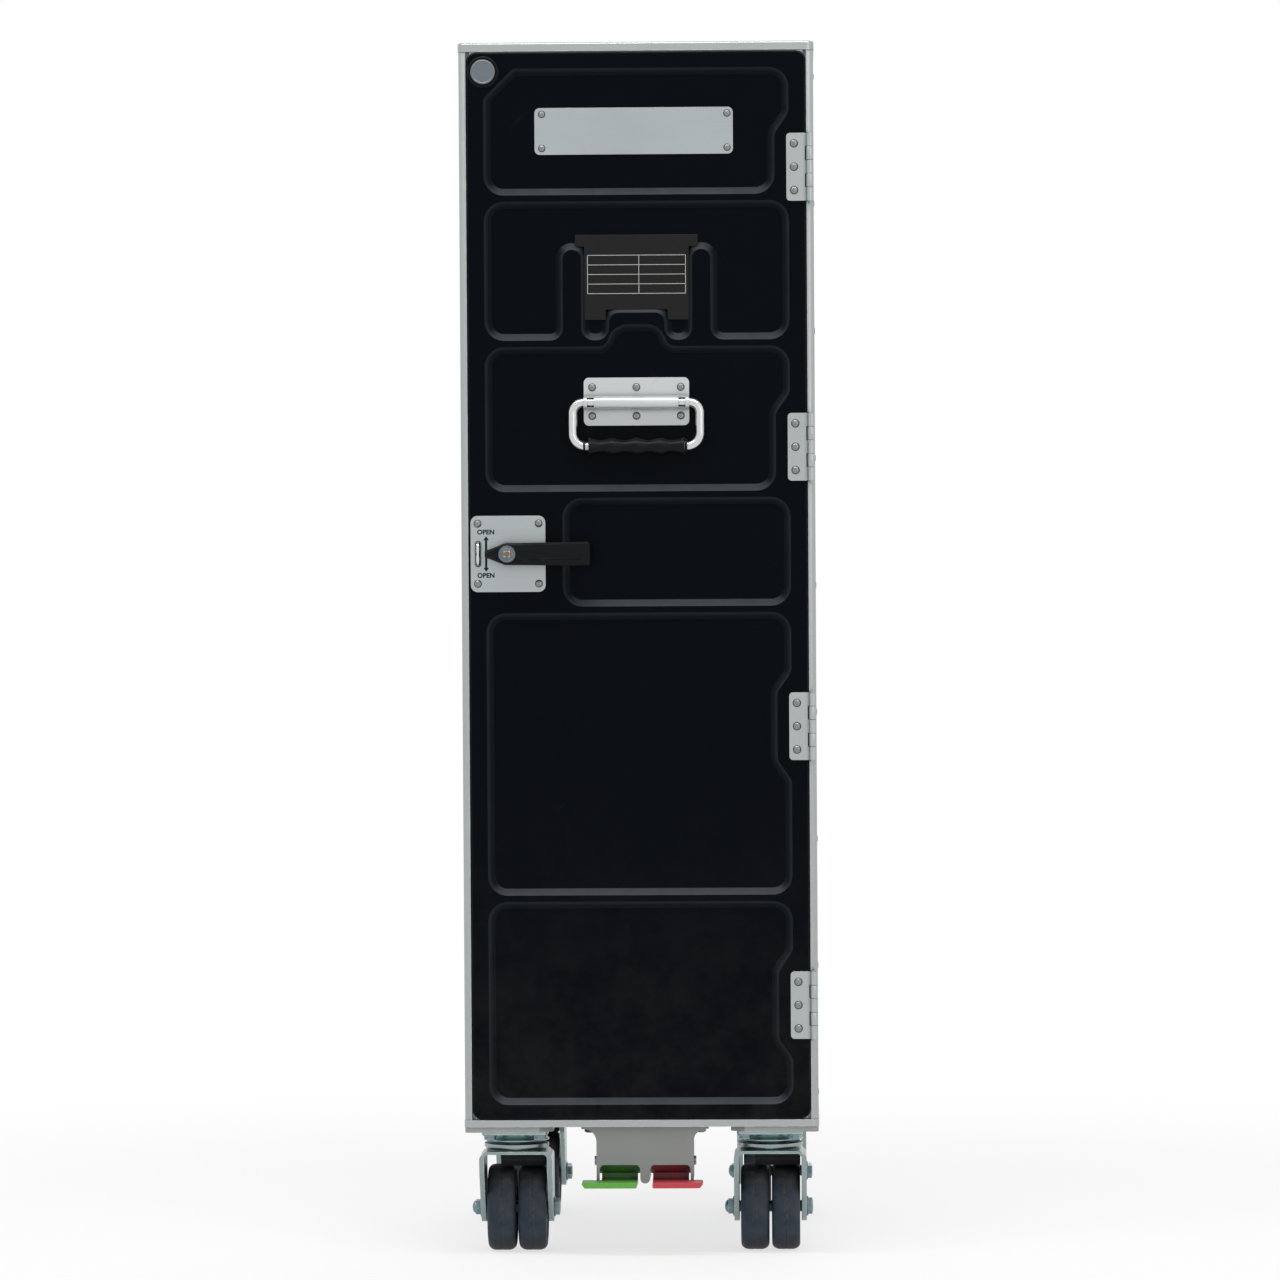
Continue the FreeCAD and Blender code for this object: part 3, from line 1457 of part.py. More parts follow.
def make_wheel(name, side, x, y):
    """One wheel of a twin caster, dished towards the hub on both faces."""
    body = new_body("wheel_{}_{}".format(name, "inner" if side < 0 else "outer"))
    half = S.wheel_width / 2
    bore = S.axle_radius + S.axle_clearance
    dish = half - S.wheel_dish_depth
    shape = [
        (-half, bore),
        (-half, S.wheel_hub_radius),
        (-dish, S.wheel_hub_radius + S.wheel_dish_depth),
        (-dish, S.wheel_rim_radius - S.wheel_dish_depth),
        (-half, S.wheel_rim_radius),
        (-half, S.wheel_radius, S.wheel_edge),
        (half, S.wheel_radius, S.wheel_edge),
        (half, S.wheel_rim_radius),
        (dish, S.wheel_rim_radius - S.wheel_dish_depth),
        (dish, S.wheel_hub_radius + S.wheel_dish_depth),
        (half, S.wheel_hub_radius),
        (half, bore),
    ]
    revolve(body, FRONT, "H_Axis", [shape])
    shift = (S.wheel_gap + S.wheel_width) / 2 * side
    place(body, x + shift, y + S.caster_trail, AXLE_LEVEL)


for corner, corner_x, corner_y, corner_side, corner_end in CORNERS:
    make_corner_plate(corner, corner_side, corner_end)
    make_caster_plate(corner, corner_x, corner_y)
    make_fork(corner, corner_x, corner_y)
    make_axle(corner, corner_x, corner_y)
    make_wheel(corner, -1, corner_x, corner_y)
    make_wheel(corner, 1, corner_x, corner_y)


# ---------------------------------------------------------------- pedals

BRACKET_LEFT = S.bracket_middle - S.bracket_width / 2
BRACKET_RIGHT = S.bracket_middle + S.bracket_width / 2
CENTRE_LEFT = S.bracket_middle - S.bracket_centre_width / 2
CENTRE_RIGHT = S.bracket_middle + S.bracket_centre_width / 2
BRACKET_CHEEKS = [
    BRACKET_LEFT,
    CENTRE_LEFT,
    CENTRE_RIGHT - S.bracket_sheet,
    BRACKET_RIGHT - S.bracket_sheet,
]


def make_bracket():
    """The folded bracket that hangs the pedal shaft under the floor."""
    body = new_body("pedal_bracket")
    flange_left = S.bracket_middle - S.bracket_flange_width / 2
    flange_right = S.bracket_middle + S.bracket_flange_width / 2
    flange_rear = BRACKET_FRONT + S.bracket_flange_depth
    flange = box_corners(flange_left, flange_right, BRACKET_FRONT, flange_rear)
    pad(body, TOP, CORNER_PLATE_BASE, S.corner_plate_thickness, [flange])
    level = CORNER_PLATE_BASE + S.corner_plate_thickness / 2
    edge = S.bracket_edge_level
    leg = S.bracket_leg_level
    left_leg = BRACKET_LEFT + S.bracket_leg_width
    right_leg = BRACKET_RIGHT - S.bracket_leg_width
    turn = S.bracket_opening_corner
    tip = S.bracket_centre_corner
    face = [
        (flange_left, level),
        (flange_left, CORNER_PLATE_BASE),
        (BRACKET_LEFT, CORNER_PLATE_BASE, S.bracket_shoulder),
        (BRACKET_LEFT, leg),
        (left_leg, leg),
        (left_leg, edge, turn),
        (CENTRE_LEFT, edge, turn),
        (CENTRE_LEFT, leg, tip),
        (CENTRE_RIGHT, leg, tip),
        (CENTRE_RIGHT, edge, turn),
        (right_leg, edge, turn),
        (right_leg, leg),
        (BRACKET_RIGHT, leg),
        (BRACKET_RIGHT, CORNER_PLATE_BASE, S.bracket_shoulder),
        (flange_right, CORNER_PLATE_BASE),
        (flange_right, level),
    ]
    sheet = S.bracket_sheet
    pad(body, FRONT, BRACKET_FRONT, sheet, [face])
    rear = BRACKET_FRONT + S.bracket_depth
    cheek = box_corners(BRACKET_FRONT + sheet / 2, rear, leg + tip, level)
    bore = Ring(SHAFT_Y, S.pedal_shaft_level, S.pedal_shaft_radius)
    for start in BRACKET_CHEEKS:
        pad(body, SIDE, start, sheet, [cheek, bore])


def make_pedal_shaft():
    """The shaft across the bracket that both pedals turn on."""
    body = new_body("pedal_shaft")
    overhang = S.bracket_sheet
    shaft = Ring(SHAFT_Y, S.pedal_shaft_level, S.pedal_shaft_radius)
    pad(body, SIDE, BRACKET_LEFT - overhang, S.bracket_width + overhang * 2, [shaft])


def make_pedal(label, hub_left, hub_right, inner, side):
    """A pedal: a tube on the shaft, an arm under the bracket and a slanted foot pad in front."""
    body = new_body(label)
    hub_width = hub_right - hub_left
    half_arm = S.pedal_arm_height / 2
    level = S.pedal_pad_level
    pad(body, SIDE, hub_left, hub_width, [Ring(SHAFT_Y, S.pedal_shaft_level, S.pedal_hub_radius)])
    joint = PEDAL_FRONT + S.pedal_pad_depth
    arm = [
        (joint - half_arm, level - half_arm / 2),
        (joint - half_arm, level + half_arm / 2),
        (SHAFT_Y - half_arm, level + half_arm),
        (SHAFT_Y - half_arm, S.pedal_shaft_level),
        (SHAFT_Y + half_arm, S.pedal_shaft_level),
        (SHAFT_Y, level - half_arm / 2),
    ]
    pad(body, SIDE, hub_left + S.pedal_arm_side_gap, hub_width - S.pedal_arm_side_gap * 2, [arm])
    half_pad = S.pedal_pad_thickness / 2
    outer = S.pedal_pad_reach * side
    toe = [
        (outer, level + half_pad, S.pedal_pad_corner),
        (inner, level + half_pad, S.pedal_pad_corner),
        (inner, level - half_pad, S.pedal_pad_corner),
        (outer - S.pedal_pad_slant * side, level - half_pad, S.pedal_pad_corner),
    ]
    pad(body, FRONT, PEDAL_FRONT, S.pedal_pad_depth, [toe])
    bore = Ring(SHAFT_Y, S.pedal_shaft_level, S.pedal_shaft_radius + S.pedal_shaft_clearance)
    pocket(body, SIDE, hub_left, hub_width, [bore])


make_bracket()
make_pedal_shaft()
make_pedal(
    "release_pedal",
    BRACKET_LEFT + S.bracket_sheet + S.pedal_hub_gap, CENTRE_LEFT - S.pedal_hub_gap,
    CENTRE_LEFT - S.pedal_pad_gap, -1)
make_pedal(
    "brake_pedal",
    CENTRE_RIGHT + S.pedal_hub_gap, BRACKET_RIGHT - S.bracket_sheet - S.pedal_hub_gap,
    CENTRE_RIGHT + S.pedal_pad_gap, 1)


# ---------------------------------------------------------------- checks and files

def check_and_write():
    """Stops at any failed object or bad shape, then writes one file for each sub-part."""
    DOC.recompute()
    for item in DOC.Objects:
        if "Invalid" in item.State or "Error" in item.State:
            raise RuntimeError("{} failed: {}".format(item.Label, item.State))
    os.makedirs("parts", exist_ok=True)
    for body in SUB_PARTS:
        if body.Shape.isNull() or not body.Shape.isValid():
            raise RuntimeError("{} has no valid shape".format(body.Label))
    for body in SUB_PARTS:
        body.Shape.exportStep("parts/{}.step".format(body.Label))


check_and_write()
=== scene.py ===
import math

import bmesh
import bpy
from mathutils import Matrix, Vector
from mathutils.kdtree import KDTree


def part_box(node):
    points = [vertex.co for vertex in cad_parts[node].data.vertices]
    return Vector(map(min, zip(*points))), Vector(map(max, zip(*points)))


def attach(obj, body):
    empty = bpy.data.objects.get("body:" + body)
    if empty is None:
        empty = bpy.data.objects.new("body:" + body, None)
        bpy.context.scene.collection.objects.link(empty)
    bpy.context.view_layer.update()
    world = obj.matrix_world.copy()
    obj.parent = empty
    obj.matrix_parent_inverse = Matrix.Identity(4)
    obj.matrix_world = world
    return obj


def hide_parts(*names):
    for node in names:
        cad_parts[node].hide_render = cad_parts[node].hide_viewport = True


bl_info = {
    "name": "Galley Cart",
    "version": (1, 0, 0),
    "blender": (4, 5, 0),
    "location": "3D View > Sidebar > Cart",
    "description": "Dresses a half-size airline galley cart: finishes, fastenings, casters and studio",
    "category": "Object",
}

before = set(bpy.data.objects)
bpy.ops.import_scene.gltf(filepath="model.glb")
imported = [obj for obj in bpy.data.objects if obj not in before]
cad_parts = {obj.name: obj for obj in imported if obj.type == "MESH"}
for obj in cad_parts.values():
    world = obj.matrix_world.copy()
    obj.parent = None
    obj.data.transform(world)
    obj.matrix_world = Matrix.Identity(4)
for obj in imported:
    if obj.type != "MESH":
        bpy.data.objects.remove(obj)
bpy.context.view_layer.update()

MM = 0.001
CORNERS = ("front_left", "front_right", "rear_left", "rear_right")
SIDES = ("inner", "outer")


# ---------------------------------------------------------------- settings

def size_setting(name, description, millimetres):
    """A length in the sidebar, given in millimetres."""
    return bpy.props.FloatProperty(
        name=name, description=description, default=millimetres * MM, unit="LENGTH")


def colour_setting(name, description, colour):
    """A colour in the sidebar."""
    return bpy.props.FloatVectorProperty(
        name=name, description=description, subtype="COLOR", default=colour, min=0.0, max=1.0)


class ScrewSettings(bpy.types.PropertyGroup):
    """Sizes of the small fastenings."""

    head_scale: bpy.props.FloatProperty(
        name="Head scale", description="Size of the cross-head screws against their usual size",
        default=1.0, min=0.5, max=1.5)
    head_height: size_setting("Head height", "How far a screw's head stands up", 1.5)
    rivet_radius: size_setting("Rivet radius", "Radius of a rivet's head", 3.0)
    rivet_pitch: size_setting("Rivet pitch", "Distance from one rivet to the next", 112.0)


class MarkSettings(bpy.types.PropertyGroup):
    """Sizes and colours of the printed marks."""

    word: bpy.props.StringProperty(
        name="Word", description="Word over and under the lever's pointer", default="OPEN")
    word_height: size_setting("Word height", "Height of its capitals", 4.1)
    ink: colour_setting("Ink", "Colour of the word and the arrows", (0.004, 0.022, 0.030))
    line_width: size_setting("Line width", "Width of the data card's lines", 0.45)
    line_colour: colour_setting("Line colour", "Colour of the data card's lines", (0.50, 0.50, 0.47))


class FinishSettings(bpy.types.PropertyGroup):
    """Colours of the main finishes, and the softness of edges."""

    frame_colour: colour_setting("Frame", "Anodised posts and rims", (0.40, 0.425, 0.425))
    door_colour: colour_setting("Door", "Moulded outer skin of the door", (0.0006, 0.0009, 0.0018))
    tyre_colour: colour_setting("Tyres", "Rubber of the casters", (0.014, 0.026, 0.044))
    release_colour: colour_setting("Release pedal", "Pedal that frees the wheels", (0.10, 0.37, 0.045))
    brake_colour: colour_setting("Brake pedal", "Pedal that brakes the wheels", (0.52, 0.035, 0.055))
    edge_bevel: size_setting("Edge bevel", "Width of the small bevel on sheet and moulded edges", 0.35)
    field_slope: size_setting(
        "Field slope", "How far a field's wall leans in from its edge to its floor", 1.3)


class StageSettings(bpy.types.PropertyGroup):
    """Camera and light."""

    lens: bpy.props.FloatProperty(
        name="Lens", description="Focal length on a 36 mm sensor", default=177.2, unit="CAMERA")
    roll: bpy.props.FloatProperty(
        name="Roll", description="Turn of the camera about its own line of sight",
        default=math.radians(-0.343), unit="ROTATION")
    fill: bpy.props.FloatProperty(
        name="Fill", description="Strength of the light from all round", default=0.6, min=0.0)
    key: bpy.props.FloatProperty(
        name="Key", description="Power of the large lamp over the cart's front", default=34.0,
        unit="POWER")


SETTINGS = {
    "cart_screws": ScrewSettings,
    "cart_marks": MarkSettings,
    "cart_finish": FinishSettings,
    "cart_stage": StageSettings,
}


# ---------------------------------------------------------------- places from the frame

def low(node):
    """Lowest corner of a CAD node, in millimetres."""
    return Vector(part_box(node)[0]) / MM


def high(node):
    """Highest corner of a CAD node, in millimetres."""
    return Vector(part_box(node)[1]) / MM


def centre(node):
    """Middle of a CAD node's box, in millimetres."""
    return (low(node) + high(node)) / 2


# ---------------------------------------------------------------- mesh helpers

SMOOTH_LIMIT = 35.0
SOFT_LIMIT = 40.0
BEVEL_LIMIT = 30.0
WELD_DISTANCE = 1e-6


def to_mesh(name, bm, sharp=SMOOTH_LIMIT):
    """Turns a bmesh drawn in millimetres into a smooth-shaded mesh in metres."""
    bmesh.ops.recalc_face_normals(bm, faces=bm.faces)
    bmesh.ops.scale(bm, vec=(MM, MM, MM), verts=bm.verts)
    mesh = bpy.data.meshes.new(name)
    bm.to_mesh(mesh)
    bm.free()
    mesh.shade_smooth()
    mesh.set_sharp_from_angle(angle=math.radians(sharp))
    return mesh


def put(name, shape, body, material, place=(0, 0, 0), turn=None):
    """Adds a mesh or a bmesh as an object at a place in millimetres, riding on a body."""
    mesh = to_mesh(name, shape) if isinstance(shape, bmesh.types.BMesh) else shape
    item = bpy.data.objects.new(name, mesh)
    bpy.context.scene.collection.objects.link(item)
    item.matrix_world = Matrix.Translation(Vector(place) * MM) @ (turn or Matrix())
    if not mesh.materials:
        mesh.materials.append(MATERIALS[material])
    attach(item, body)
    return item


def add_bevel(item, width, segments=2, weld=False):
    """Rounds an object's sharp edges; a carried-over node is welded first."""
    if weld:
        joined = item.modifiers.new("Weld", "WELD")
        joined.merge_threshold = WELD_DISTANCE
    bevel = item.modifiers.new("Bevel", "BEVEL")
    bevel.width = width
    bevel.segments = segments
    bevel.limit_method = "ANGLE"
    bevel.angle_limit = math.radians(BEVEL_LIMIT)
    bevel.harden_normals = not weld


def bridge(bm, first, second):
    """Faces all the way round between two loops; corners that coincide are left out."""
    for index in range(len(first)):
        after = (index + 1) % len(first)
        corners = [first[index], first[after], second[after], second[index]]
        spots = list(dict.fromkeys(corners))
        if len(spots) > 2:
            bm.faces.new(spots)


AXES = {
    "x": lambda a, b, along: (along, a, b),
    "y": lambda a, b, along: (b, along, a),
    "z": lambda a, b, along: (a, b, along),
}


def lathe(bm, axis, profile, segments=48, at=(0, 0, 0)):
    """Turns (along, radius) points about an axis through a place."""
    rings = []
    for along, radius in profile:
        if radius <= 0:
            spot = bm.verts.new(Vector(AXES[axis](0, 0, along)) + Vector(at))
            rings.append([spot] * segments)
            continue
        ring = []
        for step in range(segments):
            angle = math.tau * step / segments
            point = AXES[axis](radius * math.cos(angle), radius * math.sin(angle), along)
            ring.append(bm.verts.new(Vector(point) + Vector(at)))
        rings.append(ring)
    for lower, upper in zip(rings, rings[1:]):
        bridge(bm, lower, upper)
    for ring in (rings[0], rings[-1]):
        if ring[0] is not ring[1]:
            bm.faces.new(ring)


def prism(bm, axis, points, start, end, at=(0, 0, 0)):
    """Runs a flat outline along an axis from start to end."""
    loops = []
    for along in (start, end):
        loops.append([bm.verts.new(Vector(AXES[axis](a, b, along)) + Vector(at)) for a, b in points])
    bridge(bm, *loops)
    bm.faces.new(loops[0])
    bm.faces.new(loops[1])


def regular(sides, radius, turn=0.0):
    """Corners of a regular outline."""
    return [
        (radius * math.cos(turn + math.tau * n / sides), radius * math.sin(turn + math.tau * n / sides))
        for n in range(sides)]


def block_outline(half_width, half_depth, radius, steps=5):
    """Corners of a rounded rectangle about the origin."""
    points = []
    for quarter, (a, b) in enumerate(((1, 1), (-1, 1), (-1, -1), (1, -1))):
        for step in range(steps + 1):
            angle = math.pi / 2 * (quarter + step / steps)
            points.append((a * (half_width - radius) + radius * math.cos(angle),
                           b * (half_depth - radius) + radius * math.sin(angle)))
    return points


def bar(bm, lower, upper):
    """A plain bar between two corners."""
    (x0, y0, z0), (x1, y1, z1) = lower, upper
    prism(bm, "y", [(z1, x1), (z1, x0), (z0, x0), (z0, x1)], y0, y1)


JOIN_DISTANCE = 0.002
FLAT_LIMIT = 0.3


def copy_of(node):
    """A carried-over node's mesh as a bmesh in millimetres, its seams joined and flats made whole."""
    bm = bmesh.new()
    bm.from_mesh(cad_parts[node].data)
    bmesh.ops.scale(bm, vec=(1 / MM, 1 / MM, 1 / MM), verts=bm.verts)
    bmesh.ops.remove_doubles(bm, verts=bm.verts, dist=JOIN_DISTANCE)
    bmesh.ops.dissolve_limit(
        bm, angle_limit=math.radians(FLAT_LIMIT), verts=bm.verts, edges=bm.edges)
    bm.normal_update()
    return bm


def soften(item, width=0.0):
    """Small bevels where a width is given, and shading that keeps the large flats flat."""
    if width:
        add_bevel(item, width)
    weighted = item.modifiers.new("Weighted Normal", "WEIGHTED_NORMAL")
    weighted.keep_sharp = True


def ramp(value, start, end):
    """Zero before start, one after end and smooth between."""
    share = min(1.0, max(0.0, (value - start) / (end - start)))
    return share * share * (3 - 2 * share)


def cut_away(name, mesh, cutter):
    """The mesh less the cutter, both in metres."""
    block = bpy.data.objects.new("block", mesh)
    tool = bpy.data.objects.new("tool", cutter)
    for item in (block, tool):
        bpy.context.scene.collection.objects.link(item)
    step = block.modifiers.new("Cut", "BOOLEAN")
    step.operation = "DIFFERENCE"
    step.solver = "EXACT"
    step.material_mode = "TRANSFER"
    step.object = tool
    bpy.context.view_layer.update()
    seen = block.evaluated_get(bpy.context.evaluated_depsgraph_get())
    result = bpy.data.meshes.new_from_object(seen)
    result.name = name
    for item in (block, tool):
        bpy.data.objects.remove(item)
    result.shade_smooth()
    result.set_sharp_from_angle(angle=math.radians(SMOOTH_LIMIT))
    return result


# ---------------------------------------------------------------- node groups

GROUPS = {}
MATERIALS = {}
SMALL_BUMP = 0.0001
EDGE_SAMPLES = 6


class Net:
    """Adds nodes to a tree and links them in one go."""

    def __init__(self, tree):
        self.tree = tree

    def feed(self, socket, value):
        """Links a socket to another one, or sets its value."""
        if isinstance(value, bpy.types.NodeSocket):
            self.tree.links.new(value, socket)
        else:
            socket.default_value = value

    def node(self, kind, links=None, **settings):
        """A node, with its settings and what goes into its sockets."""
        item = self.tree.nodes.new(kind)
        for key, value in settings.items():
            setattr(item, key, value)
        for key, value in (links or {}).items():
            self.feed(item.inputs[key], value)
        return item

    def math(self, operation, first, second=0.5, clamp=False):
        """A math node's result."""
        item = self.node("ShaderNodeMath", {0: first, 1: second}, operation=operation, use_clamp=clamp)
        return item.outputs[0]

    def add(self, first, second, clamp=False):
        """Two values added."""
        return self.math("ADD", first, second, clamp)

    def times(self, *values, clamp=False):
        """Values multiplied; the last product may be clamped."""
        product = values[0]
        for count, value in enumerate(values[1:], 2):
            product = self.math("MULTIPLY", product, value, clamp and count == len(values))
        return product

    def rest(self, value):
        """What a value leaves of one."""
        return self.math("SUBTRACT", 1.0, value)

    def step(self, value, start, end):
        """Zero before start, one after end and smooth between."""
        item = self.node(
            "ShaderNodeMapRange", {"Value": value, "From Min": start, "From Max": end},
            interpolation_type="SMOOTHSTEP")
        return item.outputs["Result"]

    def noise(self, vector, scale, detail, rough):
        """A noise texture's value."""
        item = self.node(
            "ShaderNodeTexNoise",
            {"Vector": vector, "Scale": scale, "Detail": detail, "Roughness": rough})
        return item.outputs["Fac"]

    def stretched(self, vector, factors):
        """Coordinates scaled apart along the three axes."""
        item = self.node("ShaderNodeVectorMath", {0: vector, 1: factors}, operation="MULTIPLY")
        return item.outputs[0]

    def parts(self, vector):
        """The X, Y and Z of a vector."""
        return self.node("ShaderNodeSeparateXYZ", {0: vector}).outputs

    def mix(self, factor, first, second):
        """Two colours mixed."""
        item = self.node("ShaderNodeMix", data_type="RGBA")
        for place, value in ((0, factor), (6, first), (7, second)):
            self.feed(item.inputs[place], value)
        return item.outputs[2]


def new_group(name, inputs, outputs=("Mask",)):
    """Starts a shared node group: its net, its inputs and the texture coordinates."""
    group = bpy.data.node_groups.new(name, "ShaderNodeTree")
    kinds = {True: "NodeSocketVector", False: "NodeSocketFloat"}
    for label, default in inputs.items():
        socket = group.interface.new_socket(
            name=label, in_out="INPUT", socket_type=kinds[isinstance(default, tuple)])
        socket.default_value = default
    for label in outputs:
        group.interface.new_socket(name=label, in_out="OUTPUT", socket_type=kinds[label == "Normal"])
    GROUPS[name] = group
    net = Net(group)
    return net, net.node("NodeGroupInput").outputs, net.node("ShaderNodeTexCoord").outputs


def texture_output(net, given, height, first, second):
    """Puts out the tone of two textures with their shares, the second one itself, and the bump."""
    both = net.add(net.times(*first), net.times(*second))
    swing = net.times(net.math("SUBTRACT", both, 0.5), 2.0)
    bump = net.node(
        "ShaderNodeBump", {"Height": height, "Strength": given["Bump"], "Distance": SMALL_BUMP})
    net.node("NodeGroupOutput", {
        "Tone": net.add(net.times(swing, given["Spread"]), 1.0), "Uneven": second[0],
        "Normal": bump.outputs["Normal"]})


def grain_group():
    """Moulded or painted texture: a fine bump, and slow changes of tone."""
    net, given, coords = new_group(
        "Grain", {"Scale": 900.0, "Bump": 0.1, "Spread": 0.1}, ("Tone", "Uneven", "Normal"))
    fine = net.noise(coords["Object"], given["Scale"], 3.0, 0.6)
    cloud = net.noise(coords["Object"], 9.0, 5.0, 0.6)
    patch = net.noise(coords["Object"], 42.0, 4.0, 0.6)
    texture_output(net, given, fine, (cloud, 0.6), (patch, 0.4))


def brushed_group():
    """Rolled or brushed metal: long fine streaks along one direction."""
    net, given, coords = new_group(
        "Brushed", {"Stretch": (60.0, 1500.0, 1500.0), "Bump": 0.1, "Spread": 0.1},
        ("Tone", "Uneven", "Normal"))
    streak = net.noise(net.stretched(coords["Object"], given["Stretch"]), 1.0, 3.0, 0.6)
    cloud = net.noise(coords["Object"], 14.0, 5.0, 0.65)
    texture_output(net, given, streak, (streak, 0.55), (cloud, 0.45))


def wear_group():
    """A mask of the edges where the finish has rubbed off; on the door its colour is a painted
    reflection along the lips of the fields.
    """
    net, given, coords = new_group("Edge Wear And Sheen", {"Radius": 0.0012, "Amount": 0.5})
    flat = net.node("ShaderNodeNewGeometry").outputs["Normal"]
    rounded = net.node("ShaderNodeBevel", {"Radius": given["Radius"]}, samples=EDGE_SAMPLES).outputs[0]
    agree = net.node("ShaderNodeVectorMath", {0: flat, 1: rounded}, operation="DOT_PRODUCT")
    edge = net.step(net.rest(agree.outputs["Value"]), 0.01, 0.16)
    patchy = net.step(net.noise(coords["Object"], 95.0, 6.0, 0.7), 0.42, 0.66)
    net.node("NodeGroupOutput", {"Mask": net.times(edge, patchy, given["Amount"], clamp=True)})


def scuff_group():
    """A mask of short thin scratches and of rubbed patches."""
    net, given, coords = new_group("Scuffs", {"Amount": 0.3})
    masks = []
    for turn in ((0.3, 0.5, 0.2), (1.2, -0.4, 0.9)):
        turned = net.node("ShaderNodeVectorRotate", {"Vector": coords["Object"], "Rotation": turn},
                          rotation_type="EULER_XYZ").outputs[0]
        pulled = net.stretched(turned, (18.0, 700.0, 18.0))
        masks.append(net.step(net.noise(pulled, 1.0, 2.0, 0.5), 0.70, 0.78))
    lines = net.math("MAXIMUM", *masks)
    where = net.step(net.noise(coords["Object"], 16.0, 3.0, 0.6), 0.52, 0.70)
    net.node("NodeGroupOutput", {"Mask": net.times(lines, where, given["Amount"], clamp=True)})


def dust_and_sheen_group():
    """A mask of settled dusting on faces that look up and near the floor; on the door it is a painted
    highlight on the upward ledges and makes the door lighter towards the bottom.
    """
    net, given, coords = new_group("Dust And Sheen", {"Amount": 0.3})
    geometry = net.node("ShaderNodeNewGeometry").outputs
    upward = net.step(net.parts(geometry["Normal"])["Z"], 0.25, 0.95)
    below = net.rest(net.step(net.parts(geometry["Position"])["Z"], 0.0, 0.45))
    both = net.add(net.times(upward, 0.7), net.times(below, 0.45))
    patchy = net.step(net.noise(coords["Object"], 30.0, 6.0, 0.7), 0.30, 0.72)
    net.node("NodeGroupOutput", {"Mask": net.times(both, patchy, given["Amount"], clamp=True)})


def grime_group():
    """A mask of painted shade: corners, crevices and faces close under other parts, found by ambient
    occlusion and made patchy.
    """
    net, given, coords = new_group("Crevice Shade", {"Reach": 0.01, "Amount": 0.5})
    open_share = net.node(
        "ShaderNodeAmbientOcclusion", {"Distance": given["Reach"]}, samples=EDGE_SAMPLES).outputs["AO"]
    closed = net.step(net.rest(open_share), 0.08, 0.75)
    patchy = net.add(net.times(net.noise(coords["Object"], 60.0, 5.0, 0.7), 0.9), 0.45)
    net.node("NodeGroupOutput", {"Mask": net.times(closed, patchy, given["Amount"], clamp=True)})


def field_highlights_group():
    """Masks of painted light on the moulding: a painted reflection along the lips and walls of the sunk
    fields, and a painted highlight on the ledges that look up.
    """
    net, given, coords = new_group(
        "Slope", {"Level": -0.19, "Depth": 0.003, "Amount": 0.5}, ("Mask", "Ledge Highlight"))
    facing = net.parts(coords["Normal"])
    behind = net.math("SUBTRACT", net.parts(coords["Object"])["Y"], given["Level"])
    lean = net.rest(net.math("ABSOLUTE", facing["Y"]))
    # Patchy share of the painted reflection and highlight.
    rubbed = net.add(net.times(net.noise(coords["Object"], 55.0, 4.0, 0.6), 0.6), 0.7)
    sunk = net.step(net.math("DIVIDE", behind, given["Depth"]), 0.1, 1.0)
    lip = net.rest(net.times(sunk, 0.75))
    band = net.times(net.step(lean, 0.01, 0.22), rubbed, lip)
    upward = net.times(net.step(facing["Z"], 0.30, 0.85), net.step(facing["Y"], 0.0, -0.25))
    net.node("NodeGroupOutput", {
        "Mask": net.times(band, given["Amount"], clamp=True),
        "Ledge Highlight": net.times(upward, rubbed, given["Amount"], clamp=True)})


def tread_group():
    """A mask of the rubbed ring round the middle of a tyre's tread."""
    net, given, coords = new_group("Tread", {"Width": 0.0022, "Amount": 0.5})
    across = net.parts(coords["Object"])["X"]
    aside = net.math("DIVIDE", net.math("ABSOLUTE", across), given["Width"])
    ring = net.rest(net.step(aside, 0.3, 1.3))
    specks = net.step(net.noise(coords["Object"], 420.0, 3.0, 0.7), 0.42, 0.62)
    net.node("NodeGroupOutput", {"Mask": net.times(ring, specks, given["Amount"], clamp=True)})
# ---------------------------------------------------------------- materials

ROUGH_SWING = 0.24
DUST_AND_SHEEN_COLOUR = (0.30, 0.28, 0.25)
LAYERS = {
    "scuff": ("Scuffs", ("Mask",), 0.15),
    "wear": ("Edge Wear And Sheen", ("Mask",), 0.0),
    "slope": ("Slope", ("Mask", "Ledge Highlight"), 0.0),
    "tread": ("Tread", ("Mask",), 0.0),
    "grime": ("Crevice Shade", ("Mask",), 0.0),
    "dust_and_sheen": ("Dust And Sheen", ("Mask",), 0.35),
}


def shaded(net, name, values):
    """One of the shared groups, used in a material; the values go into its inputs in order."""
    item = net.node("ShaderNodeGroup", dict(enumerate(values)), node_tree=GROUPS[name])
    return item.outputs


def opaque(colour):
    """A colour with full alpha."""
    return tuple(colour) + (1.0,)


def grey(level):
    """A neutral colour."""
    return (level, level, level)


